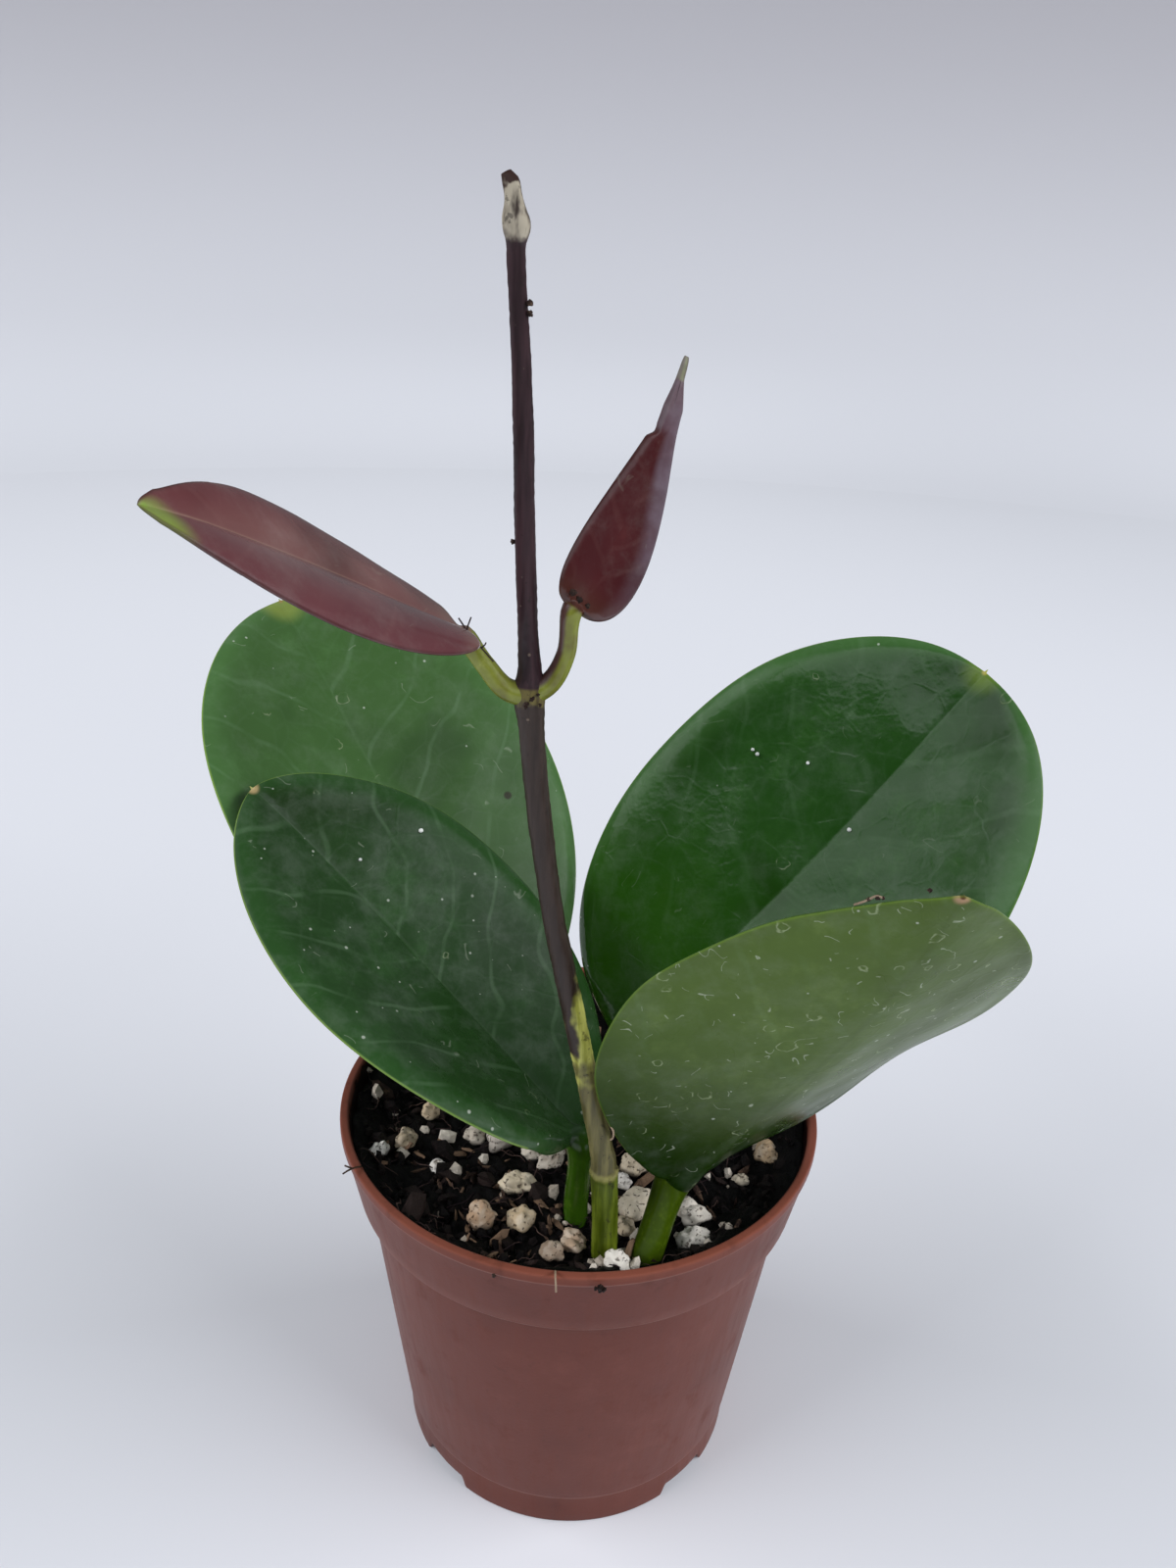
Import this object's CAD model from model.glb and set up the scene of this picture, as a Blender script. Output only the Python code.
import math

import bpy
import numpy as np
from mathutils import Matrix, Vector


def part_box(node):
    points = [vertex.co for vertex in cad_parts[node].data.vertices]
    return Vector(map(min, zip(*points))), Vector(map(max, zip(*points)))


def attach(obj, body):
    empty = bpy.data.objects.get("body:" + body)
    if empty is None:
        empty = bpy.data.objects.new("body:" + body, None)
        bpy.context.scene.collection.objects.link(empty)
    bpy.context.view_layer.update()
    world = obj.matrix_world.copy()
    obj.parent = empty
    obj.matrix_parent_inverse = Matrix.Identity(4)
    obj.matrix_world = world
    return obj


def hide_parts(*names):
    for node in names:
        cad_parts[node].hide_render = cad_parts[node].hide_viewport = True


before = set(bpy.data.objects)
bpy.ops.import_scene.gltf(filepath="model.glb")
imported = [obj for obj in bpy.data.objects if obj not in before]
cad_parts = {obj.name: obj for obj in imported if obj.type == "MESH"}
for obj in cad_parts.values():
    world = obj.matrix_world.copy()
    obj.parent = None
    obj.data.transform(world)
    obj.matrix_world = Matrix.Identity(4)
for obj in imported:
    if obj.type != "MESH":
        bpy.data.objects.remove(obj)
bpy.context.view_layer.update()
MM = 0.001


# The pot is one thin injection moulding in satin terracotta coloured plastic. A collar under the rim lets
# such pots nest, and the foot ring has four notches beside the four drain holes, so that water runs off.
pot_low, pot_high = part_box("pot")
POT_AXIS = np.array([(pot_low.x + pot_high.x) / 2, (pot_low.y + pot_high.y) / 2, pot_low.z])
RIM_RADIUS = (pot_high.x - pot_low.x) / 2
POT_HEIGHT = pot_high.z - pot_low.z
WALL = 0.95 * MM
LIP_HEIGHT = 1.1 * MM
LIP_STEP = 0.14 * MM
COLLAR_FOOT = POT_HEIGHT - 8.8 * MM
COLLAR_FOOT_RADIUS = 25.8 * MM
BODY_TOP_RADIUS = 24.7 * MM
BODY_FOOT_RADIUS = 20.7 * MM
FOOT_HEIGHT = 4.3 * MM
FOOT_RADIUS = 20.3 * MM
FOOT_WALL = 1.1 * MM
FLOOR_UNDERSIDE = 3.0 * MM
FLOOR_TOP = 4.1 * MM
FLOOR_CENTRE = 3 * MM
EDGE_ROUNDING = 0.28 * MM
MOULD_LINE_WIDTH = 0.25 * MM
NOTCH_HEADINGS = np.radians([-47, 43, 133, 223])
NOTCH_HALF_ANGLE = math.radians(9.1)
NOTCH_CORNER = math.radians(2.4)
NOTCH_HEIGHT = 1.5 * MM
DRAIN_RADIUS = 1.9 * MM
DRAIN_CIRCLE_RADIUS = 13 * MM
POT_SIDES = 240
DRAIN_SIDES = 32


def colour(code):
    """A colour written as six hex digits, as the linear light that Blender works in."""
    shown = np.array([int(code[i : i + 2], 16) for i in (0, 2, 4)]) / 255
    light = np.where(shown <= 0.04045, shown / 12.92, ((shown + 0.055) / 1.055) ** 2.4)
    return (*light.tolist(), 1.0)


def smoothstep(low, high, value):
    """0 below low, 1 above high, and a smooth S between them."""
    share = np.clip((value - low) / (high - low), 0, 1)
    return share * share * (3 - 2 * share)


def piece(name, points, faces, material, replaces=(), marks=None, flat=False):
    """A mesh that rides on the root body, from an array of points and one array of faces, or a list of such
    arrays where some faces have more sides. marks are named values, one for each point, that its material
    reads."""
    groups = faces if isinstance(faces, list) else [faces]
    loops = np.concatenate([group.ravel() for group in groups])
    sizes = np.concatenate([np.full(len(group), group.shape[1]) for group in groups])
    mesh = bpy.data.meshes.new(name)
    mesh.vertices.add(len(points))
    mesh.vertices.foreach_set("co", np.asarray(points, np.float32).ravel())
    mesh.loops.add(len(loops))
    mesh.loops.foreach_set("vertex_index", loops.astype(np.int32))
    mesh.polygons.add(len(sizes))
    mesh.polygons.foreach_set("loop_start", (np.cumsum(sizes) - sizes).astype(np.int32))
    mesh.polygons.foreach_set("use_smooth", np.full(len(sizes), not flat))
    mesh.update(calc_edges=True)
    for label, values in (marks or {}).items():
        mesh.attributes.new(label, "FLOAT", "POINT").data.foreach_set(
            "value", np.asarray(values, np.float32).ravel()
        )
    mesh.materials.append(material)
    made = bpy.data.objects.new(name, mesh)
    bpy.context.scene.collection.objects.link(made)
    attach(made, "root")
    if replaces:
        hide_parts(*replaces)
    return made


def full_turn(count):
    """Even angles once round."""
    return np.linspace(0, 2 * np.pi, count, endpoint=False)


def lathed(radii, heights, turns):
    """An outline turned about the z axis: a grid of points with a row for each radius, its height given by
    a column or by a whole grid, and a column for each turn."""
    radii = np.asarray(radii)[:, None]
    heights = heights + np.zeros((len(radii), len(turns)))
    return np.stack([radii * np.cos(turns), radii * np.sin(turns), heights], -1)


def ring_faces(rings, sides):
    """Quads between neighbouring rings of a tube, each ring joined end to start, facing outwards when a
    ring runs anticlockwise seen against the way the rings run."""
    ring, side = np.meshgrid(np.arange(rings - 1), np.arange(sides), indexing="ij")
    here = ring * sides + side
    beside = ring * sides + (side + 1) % sides
    return np.stack([here, beside, beside + sides, here + sides], -1).reshape(-1, 4)


def fan_faces(first, pole, sides):
    """Triangles from the ring that starts at first to one pole point, facing the way the rings run."""
    side = np.arange(sides)
    return np.stack([first + side, first + (side + 1) % sides, np.full(sides, pole)], -1)


def capped(grid, poles=None):
    """The points and faces of a tube closed at both ends: a grid of rings, and a pole point for each end,
    which lies in the middle of its ring where none is given."""
    rings, sides = grid.shape[:2]
    poles = grid[[0, -1]].mean(1) if poles is None else poles
    count = rings * sides
    first_end, last_end = fan_faces(0, count, sides)[:, ::-1], fan_faces(count - sides, count + 1, sides)
    faces = [ring_faces(rings, sides), first_end, last_end]
    return np.concatenate([grid.reshape(-1, 3), poles]), faces


def rounded(corners, reach, steps=5, longest=1.5 * MM):
    """An outline through the corners. Each inner corner is rounded by a parabola that leaves its two sides
    at most reach from it, and long straights are cut so that shading stays even."""
    corners = np.array(corners, float)
    before, at, after = corners[:-2], corners[1:-1], corners[2:]

    def towards(target):
        gap = target - at
        length = np.linalg.norm(gap, axis=1, keepdims=True)
        return at + gap / length * np.minimum(reach, 0.45 * length)

    enter, leave = towards(before), towards(after)
    enter, at, leave = enter[:, None], at[:, None], leave[:, None]
    share = np.linspace(0, 1, steps)[None, :, None]
    bends = (1 - share) ** 2 * enter + 2 * share * (1 - share) * at + share**2 * leave
    line = np.concatenate([corners[:1], bends.reshape(-1, 2), corners[-1:]])
    counts = np.maximum(1, np.ceil(np.linalg.norm(np.diff(line, axis=0), axis=1) / longest)).astype(int)
    cuts = [np.linspace(a, b, count, endpoint=False) for a, b, count in zip(line[:-1], line[1:], counts)]
    return np.concatenate(cuts + [line[-1:]])


def connect(tree, value, socket):
    """Feeds a socket with another node's output or with a plain value."""
    if isinstance(value, bpy.types.NodeSocket):
        tree.links.new(value, socket)
    else:
        socket.default_value = value


def add(tree, kind, output=0, sockets=None, **settings):
    """Adds one shader node, sets it up, feeds its sockets, and gives back one of its outputs."""
    node = tree.nodes.new("ShaderNode" + kind)
    for key, value in settings.items():
        setattr(node, key, value)
    for key, value in (sockets or {}).items():
        connect(tree, value, node.inputs[key])
    return node.outputs[output]


def noise(tree, where, scale, detail, roughness=0.55, distortion=0.0):
    """Cloudy noise, from 0 to 1 round 0.5, with scale clouds to the metre and detail finer sizes of cloud."""
    sockets = {"Vector": where, "Scale": scale, "Detail": detail, "Roughness": roughness}
    return add(tree, "TexNoise", 0, {**sockets, "Distortion": distortion})


def spread(tree, value, low, high, to_low=0.0, to_high=1.0):
    """The value carried smoothly from the range low to high into the range to_low to to_high."""
    sockets = {"Value": value, "From Min": low, "From Max": high, "To Min": to_low, "To Max": to_high}
    return add(tree, "MapRange", 0, sockets, interpolation_type="SMOOTHSTEP")


def work(tree, operation, first, second=0.5, clamp=False):
    """A sum on one or two numbers."""
    return add(tree, "Math", 0, {0: first, 1: second}, operation=operation, use_clamp=clamp)


def times(tree, first, second):
    """One number times another."""
    return work(tree, "MULTIPLY", first, second)


def part_of(tree, vector, axis):
    """One of a vector's three numbers, by the name of its axis."""
    return add(tree, "SeparateXYZ", axis, {0: vector})


def drawn_out(tree, where, squeeze):
    """Coordinates whose height is squeezed, so that a pattern on them runs long from foot to top."""
    return add(tree, "Mapping", 0, {"Vector": where, "Scale": (1.0, 1.0, squeeze)})


def mixed(tree, share, first, second):
    """The first colour with the second laid over it by share."""
    return add(tree, "Mix", 2, {0: share, 6: first, 7: second}, data_type="RGBA", blend_type="MIX")


def laid(tree, under, code, share, most=None):
    """A colour with the code's colour laid over it by share, or by share times most."""
    return mixed(tree, share if most is None else times(tree, share, most), under, colour(code))


def mark(tree, name):
    """A value that the mesh carries at each of its points."""
    return add(tree, "Attribute", "Fac", attribute_name=name)


def bump(tree, height, distance, strength=1.0, under=None):
    """A surface relief of the given depth in metres, laid over another relief if there is one."""
    sockets = {"Height": height, "Distance": distance, "Strength": strength}
    if under is not None:
        sockets["Normal"] = under
    return add(tree, "Bump", 0, sockets)


def finish(name, **fixed):
    """A new material with one shader. Returns the material, its node tree, the shader and Object
    coordinates. fixed are socket values that stay the same all over."""
    material = bpy.data.materials.new(name)
    material.use_nodes = True
    tree = material.node_tree
    tree.nodes.clear()
    output = tree.nodes.new("ShaderNodeOutputMaterial")
    shader = tree.nodes.new("ShaderNodeBsdfPrincipled")
    tree.links.new(shader.outputs[0], output.inputs[0])
    for key, value in fixed.items():
        shader.inputs[key.replace("_", " ")].default_value = value
    return material, tree, shader, add(tree, "TexCoord", "Object")


def feed(tree, shader, **sockets):
    """Links outputs to the shader's sockets by name."""
    for key, value in sockets.items():
        tree.links.new(value, shader.inputs[key.replace("_", " ")])


def group_of(name, inputs, outputs):
    """A shared effect: an empty node group with its inputs and outputs, each with its name and its kind."""
    group = bpy.data.node_groups.new(name, "ShaderNodeTree")
    for way, sockets in (("INPUT", inputs), ("OUTPUT", outputs)):
        for label, kind in sockets.items():
            group.interface.new_socket(label, in_out=way, socket_type="NodeSocket" + kind)
    return group, group.nodes.new("NodeGroupInput").outputs, group.nodes.new("NodeGroupOutput").inputs


def placed(tree, group, output, **sockets):
    """A shared effect placed in a material with its own values; returns the named output."""
    node = tree.nodes.new("ShaderNodeGroup")
    node.node_tree = group
    for key, value in sockets.items():
        connect(tree, value, node.inputs[key.replace("_", " ")])
    return node.outputs[output]


# Specks: each Voronoi cell holds a dot of the given radius, and only a share of the cells shows one.
specks, given, gives = group_of(
    "specks",
    {"Where": "Vector", "Per Metre": "Float", "Share": "Float", "Size": "Float"},
    {"Mask": "Float"},
)
cell = add(specks, "TexVoronoi", 0, {"Vector": given["Where"], "Scale": given["Per Metre"]}).node.outputs
chance = add(specks, "SeparateColor", 0, {0: cell["Color"]})
girth = add(specks, "SeparateColor", 1, {0: cell["Color"]})
radius = times(specks, given["Size"], work(specks, "ADD", girth, 0.35))
inside = work(specks, "SUBTRACT", radius, cell["Distance"])
dot = work(specks, "DIVIDE", inside, times(specks, radius, 0.4), clamp=True)
shown = work(specks, "LESS_THAN", chance, given["Share"])
specks.links.new(times(specks, dot, shown), gives["Mask"])

# Mottling: two sizes of cloud push a colour towards its shade and towards its light.
mottling, given, gives = group_of(
    "mottling",
    {"Where": "Vector", "Per Metre": "Float", "Base": "Color", "Shade": "Color", "Light": "Color"},
    {"Colour": "Color"},
)
broad = noise(mottling, given["Where"], given["Per Metre"], 3.0, 0.6)
fine = noise(mottling, given["Where"], times(mottling, given["Per Metre"], 5.3), 4.0, 0.65)
darker = spread(mottling, broad, 0.5, 0.25)
both = work(mottling, "ADD", times(mottling, fine, 0.5), times(mottling, broad, 0.5))
lighter = spread(mottling, both, 0.5, 0.72)
tone = mixed(mottling, lighter, mixed(mottling, darker, given["Base"], given["Shade"]), given["Light"])
mottling.links.new(tone, gives["Colour"])


def dotted(tree, where, per_metre, share, size):
    """Specks placed in a material: dots of this size in a share of the cells, per_metre to the metre."""
    return placed(tree, specks, "Mask", Where=where, Per_Metre=per_metre, Share=share, Size=size)


def clouded(tree, where, per_metre, shade, base, light):
    """Mottling placed in a material: the base colour with clouds of its shade and its light."""
    colours = {"Base": colour(base), "Shade": colour(shade), "Light": colour(light)}
    return placed(tree, mottling, "Colour", Where=where, Per_Metre=per_metre, **colours)


def pot_plastic():
    """Satin terracotta plastic: faint clouds from the moulding, thin vertical draw marks, paler mould lines
    at the lip, the collar and the foot, soil dust that gathers under the rim, and soil on the inside."""
    material, tree, shader, where = finish("pot_plastic", IOR=1.45, Specular_IOR_Level=0.22)
    base = clouded(tree, where, 70.0, "572b22", "613127", "6a392f")
    draw = noise(tree, drawn_out(tree, where, 0.06), 900.0, 2.0)
    base = laid(tree, base, "6c3c2f", spread(tree, draw, 0.35, 0.7, 0.0, 0.16))
    base = laid(tree, base, "9c604e", mark(tree, "mould_line"), 0.35)
    dust = spread(tree, noise(tree, where, 260.0, 4.0, 0.7), 0.52, 0.74, 0.0, 0.35)
    towards_rim = spread(tree, part_of(tree, where, "Z"), 37 * MM, 45.5 * MM, 0.15, 1.0)
    base = laid(tree, base, "3a211b", dust, towards_rim)
    ragged = spread(tree, noise(tree, where, 500.0, 4.0, 0.7), 0.35, 0.7, -0.35, 0.1)
    soiled = work(tree, "ADD", mark(tree, "inside"), ragged)
    base = laid(tree, base, "0b0606", spread(tree, soiled, 0.02, 0.4, 0.0, 0.97))
    base = laid(tree, base, "3a211b", dotted(tree, where, 420.0, 0.012, 0.2), 0.7)
    worn = work(tree, "ADD", times(tree, draw, 0.5), times(tree, dust, 0.6))
    rough = spread(tree, worn, 0.1, 0.6, 0.36, 0.52)
    relief = bump(tree, noise(tree, where, 2600.0, 2.0), 0.02 * MM, 0.5, bump(tree, draw, 0.03 * MM, 0.6))
    feed(tree, shader, Base_Color=base, Roughness=rough, Normal=relief)
    return material


def make_pot():
    """The pot is an outline turned about its axis. In the foot ring each point is lifted towards the floor
    by a height that is the notch's inside a notch's angle, 0 outside, and a smooth S at its corners."""
    outline = rounded(
        [
            (FLOOR_CENTRE, FLOOR_UNDERSIDE),
            (FOOT_RADIUS - FOOT_WALL - 0.2 * MM, FLOOR_UNDERSIDE),
            (FOOT_RADIUS - FOOT_WALL, 0),
            (FOOT_RADIUS, 0),
            (FOOT_RADIUS + 0.15 * MM, FOOT_HEIGHT),
            (BODY_FOOT_RADIUS + 0.02 * MM, FOOT_HEIGHT + 0.3 * MM),
            (BODY_TOP_RADIUS, COLLAR_FOOT - 0.3 * MM),
            (COLLAR_FOOT_RADIUS, COLLAR_FOOT),
            (RIM_RADIUS - LIP_STEP - 0.1 * MM, POT_HEIGHT - LIP_HEIGHT - LIP_STEP),
            (RIM_RADIUS, POT_HEIGHT - LIP_HEIGHT),
            (RIM_RADIUS, POT_HEIGHT),
            (RIM_RADIUS - WALL, POT_HEIGHT),
            (COLLAR_FOOT_RADIUS - WALL, COLLAR_FOOT),
            (BODY_TOP_RADIUS - WALL, COLLAR_FOOT - WALL),
            (BODY_FOOT_RADIUS - WALL, FLOOR_TOP + WALL),
            (BODY_FOOT_RADIUS - 2 * WALL, FLOOR_TOP),
            (FLOOR_CENTRE, FLOOR_TOP),
        ],
        EDGE_ROUNDING,
    )
    edges = [heading + side * NOTCH_HALF_ANGLE for heading in NOTCH_HEADINGS for side in (-1, 1)]
    close = np.linspace(-NOTCH_CORNER, NOTCH_CORNER, 9)
    turns = np.concatenate([full_turn(POT_SIDES)] + [edge + close for edge in edges])
    turns = np.unique(np.round(turns % (2 * np.pi), 5))
    aside = np.abs((turns[:, None] - NOTCH_HEADINGS + np.pi) % (2 * np.pi) - np.pi).min(1)
    corner = NOTCH_CORNER / 2
    lift = NOTCH_HEIGHT * (1 - smoothstep(NOTCH_HALF_ANGLE - corner, NOTCH_HALF_ANGLE + corner, aside))
    radii, heights = outline.T
    foot = np.clip(1 - heights / (FLOOR_UNDERSIDE - 0.05 * MM), 0, 1)
    grid = lathed(radii, heights[:, None] + foot[:, None] * lift, turns)
    mould_lines = [FOOT_HEIGHT + 0.15 * MM, COLLAR_FOOT, POT_HEIGHT - LIP_HEIGHT, POT_HEIGHT - 0.1 * MM]
    outer = radii > BODY_FOOT_RADIUS - 0.5 * MM
    nearest = np.abs(heights[:, None] - np.array(mould_lines)).min(1)
    lines = np.where(outer, np.exp(-((nearest / MOULD_LINE_WIDTH) ** 2)), 0)
    turn_in = int(np.argmax(heights - 100 * (radii > RIM_RADIUS - WALL / 2)))
    within = smoothstep(0.1 * MM, 0.6 * MM, heights.max() - heights) * (np.arange(len(radii)) >= turn_in)
    points, faces = capped(grid, [[0, 0, FLOOR_UNDERSIDE], [0, 0, FLOOR_TOP]])
    marks = {
        "mould_line": np.append(np.repeat(lines, len(turns)), [0, 0]),
        "inside": np.append(np.repeat(within, len(turns)), [0, 1]),
    }
    return piece("nursery_pot", points + POT_AXIS, faces, pot_plastic(), ["pot"], marks)


def drilled(solid, headings):
    """Cuts the drain holes: a round bar goes through the pot's floor at each heading."""
    low, high = FLOOR_UNDERSIDE - MM, FLOOR_TOP + MM
    grid = lathed([DRAIN_RADIUS, DRAIN_RADIUS], np.array([[low], [high]]), full_turn(DRAIN_SIDES))
    points, faces = capped(grid, [[0, 0, low], [0, 0, high]])
    for heading in headings:
        centre = POT_AXIS + DRAIN_CIRCLE_RADIUS * np.array([math.cos(heading), math.sin(heading), 0])
        bar = piece("drain_bar", points + centre, faces, solid.data.materials[0])
        cut = solid.modifiers.new("drain", "BOOLEAN")
        cut.object = bar
        cut.solver = "EXACT"
        depsgraph = bpy.context.evaluated_depsgraph_get()
        cut_mesh = bpy.data.meshes.new_from_object(solid.evaluated_get(depsgraph))
        solid.modifiers.clear()
        solid.data = cut_mesh
        bpy.data.objects.remove(bar)


pot = make_pot()
drilled(pot, NOTCH_HEADINGS)


# The soil is a dark peat mix with bark, fibre and a little grit. It is packed into the pot to a few
# millimetres under the rim, and its loose top is rough with crumbs, slivers and hair roots.
SOIL_LEVEL = 41.2 * MM
SOIL_RELIEF = 0.35 * MM
SOIL_GAP = 0.3 * MM
SOIL_HEAP = 2.6 * MM
SOIL_RINGS = 120
SOIL_SIDES = 300
FIBRE_KNOTS = 11
FIBRE_SIDES = 5
SOIL_EDGE = (SOIL_LEVEL + SOIL_HEAP - COLLAR_FOOT) / (POT_HEIGHT - COLLAR_FOOT)
SOIL_RADIUS = COLLAR_FOOT_RADIUS + (RIM_RADIUS - COLLAR_FOOT_RADIUS) * SOIL_EDGE - WALL


def soil_top(x, y):
    """The soil's height at x and y from the pot's axis: its level, gentle hollows and humps that are a
    product of two waves and a third one across them, and a heap against the pot's wall."""
    heap = SOIL_HEAP * smoothstep(0.80, 1.0, np.hypot(x, y) / SOIL_RADIUS)
    x, y = x / MM, y / MM
    wave = np.sin(0.31 * x + 1.3) * np.cos(0.27 * y - 0.4) + 0.6 * np.sin(0.73 * x - 0.52 * y)
    return SOIL_LEVEL + SOIL_RELIEF * wave + heap


def ripple(points, wavelength, seed, waves=14):
    """Smooth noise round 0: plane waves in random directions, all of about one wavelength, summed and
    divided by the root of their number."""
    draw = np.random.default_rng(seed)
    ways = draw.normal(size=(3, waves))
    ways *= 2 * np.pi / wavelength / np.linalg.norm(ways, axis=0) * draw.uniform(0.7, 1.4, waves)
    return np.sin(points @ ways + draw.uniform(0, 2 * np.pi, waves)).sum(-1) / math.sqrt(waves)


def soil_mix(name, dark, mid, light):
    """Damp peat: nearly black, with brown crumbs; the tone mark makes each loose crumb its own brown."""
    material, tree, shader, where = finish(name, Roughness=0.66, Specular_IOR_Level=0.26)
    base = clouded(tree, where, 420.0, dark, mid, light)
    base = laid(tree, base, light, spread(tree, mark(tree, "tone"), 0.35, 1.0, 0.0, 1.0))
    relief = bump(tree, noise(tree, where, 1800.0, 4.0, 0.7), 0.25 * MM)
    feed(tree, shader, Base_Color=base, Normal=relief)
    return material


def make_soil():
    """The soil's top is a polar grid raised by three sizes of ripple and a sharp fourth one, and its side
    and bottom follow the inside of the pot."""
    turns = full_turn(SOIL_SIDES)
    radii = (SOIL_RADIUS - 0.05 * MM) * np.linspace(1, 0, SOIL_RINGS, endpoint=False)
    flat = lathed(radii, 0, turns)
    rough = 0.34 * ripple(flat, 5.5 * MM, 1) + 0.22 * ripple(flat, 2.2 * MM, 2)
    rough += 0.13 * ripple(flat, 1.0 * MM, 3)
    rough += 0.08 * np.abs(ripple(flat, 0.6 * MM, 4))
    top = lathed(radii, soil_top(flat[..., 0], flat[..., 1]) + rough * MM - 0.15 * MM, turns)
    side = np.array(
        [
            (BODY_FOOT_RADIUS - 2 * WALL - SOIL_GAP, FLOOR_TOP + SOIL_GAP),
            (BODY_FOOT_RADIUS - WALL - SOIL_GAP, FLOOR_TOP + WALL + SOIL_GAP),
            (BODY_TOP_RADIUS - WALL - SOIL_GAP, COLLAR_FOOT - WALL),
            (COLLAR_FOOT_RADIUS - WALL - SOIL_GAP, COLLAR_FOOT + SOIL_GAP),
        ]
    )
    grid = np.concatenate([lathed(side[:, 0], side[:, 1:], turns), top])
    points, faces = capped(grid, [[0, 0, FLOOR_TOP + SOIL_GAP], [0, 0, soil_top(0.0, 0.0)]])
    peat = soil_mix("peat", "020202", "060505", "100c0d")
    marks = {"tone": np.zeros(len(points))}
    return piece("soil_body", points + POT_AXIS, faces, peat, ["soil"], marks)


def icosahedron():
    """The twelve corners of an icosahedron of radius 1 and its twenty faces."""
    golden = (1 + math.sqrt(5)) / 2
    signs = np.array([(-1, -golden), (-1, golden), (1, -golden), (1, golden)])
    zero = np.zeros(4)
    corners = np.concatenate(
        [
            np.stack([zero, signs[:, 0], signs[:, 1]], -1),
            np.stack([signs[:, 0], signs[:, 1], zero], -1),
            np.stack([signs[:, 1], zero, signs[:, 0]], -1),
        ]
    )
    a, b, c = np.meshgrid(np.arange(12), np.arange(12), np.arange(12), indexing="ij")
    trios = np.stack([a.ravel(), b.ravel(), c.ravel()], -1)
    trios = trios[(trios[:, 0] < trios[:, 1]) & (trios[:, 1] < trios[:, 2])]
    gaps = np.linalg.norm(corners[trios] - corners[np.roll(trios, 1, axis=1)], axis=-1)
    trios = trios[np.all(gaps < 2.1, axis=1)]
    p, q, r = corners[trios[:, 0]], corners[trios[:, 1]], corners[trios[:, 2]]
    inward = np.einsum("ij,ij->i", np.cross(q - p, r - p), p) < 0
    trios[inward] = trios[inward][:, ::-1]
    return corners / math.hypot(1, golden), trios


def random_turns(draw, count):
    """Random rotations, as 3 by 3 matrices from random unit quaternions."""
    w, x, y, z = draw.normal(size=(4, count))
    size = np.sqrt(w * w + x * x + y * y + z * z)
    w, x, y, z = w / size, x / size, y / size, z / size
    rows = [
        [1 - 2 * (y * y + z * z), 2 * (x * y - z * w), 2 * (x * z + y * w)],
        [2 * (x * y + z * w), 1 - 2 * (x * x + z * z), 2 * (y * z - x * w)],
        [2 * (x * z - y * w), 2 * (y * z + x * w), 1 - 2 * (x * x + y * y)],
    ]
    return np.moveaxis(np.array(rows), 2, 0)


def scattered(draw, count, margin):
    """Random places on the soil's top, even over its area and no nearer the pot than margin."""
    radius = (SOIL_RADIUS - margin) * np.sqrt(draw.uniform(0, 1, count))
    turn = draw.uniform(0, 2 * np.pi, count)
    return radius * np.cos(turn), radius * np.sin(turn)


def crumbs(name, count, smallest, largest, stretch, lift, seed, material, known=()):
    """Loose crumbs: jittered icosahedra of random size, turn and stretch, that lie on the top. known has x,
    y and size in millimetres of some that lie at known places, ahead of the scattered ones. lift is how far
    up a crumb's middle lies, as a share of its size."""
    draw = np.random.default_rng(seed)
    corners, trios = icosahedron()
    size = smallest + (largest - smallest) * draw.uniform(0, 1, count) ** 2.5
    x, y = scattered(draw, count, largest / 2)
    if len(known):
        rows = zip(np.array(known, float).T * MM, (x, y, size))
        x, y, size = (np.concatenate(row) for row in rows)
        count += len(known)
    shape = corners * (1 + 0.22 * draw.normal(size=(count, 12, 1)).clip(-1.5, 1.5))
    shape = shape * (size[:, None, None] / 2) * np.array(stretch)
    shape = np.einsum("nij,nkj->nki", random_turns(draw, count), shape)
    place = np.stack([x, y, soil_top(x, y) + size * lift], -1)
    points = (shape + place[:, None]).reshape(-1, 3) + POT_AXIS
    faces = (trios[None] + 12 * np.arange(count)[:, None, None]).reshape(-1, 3)
    tone = draw.uniform(0, 1, count)
    tone[: len(known)] = 0.3 + 0.6 * tone[: len(known)]
    return piece(name, points, faces, material, marks={"tone": np.repeat(tone, 12)}, flat=True)


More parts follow.
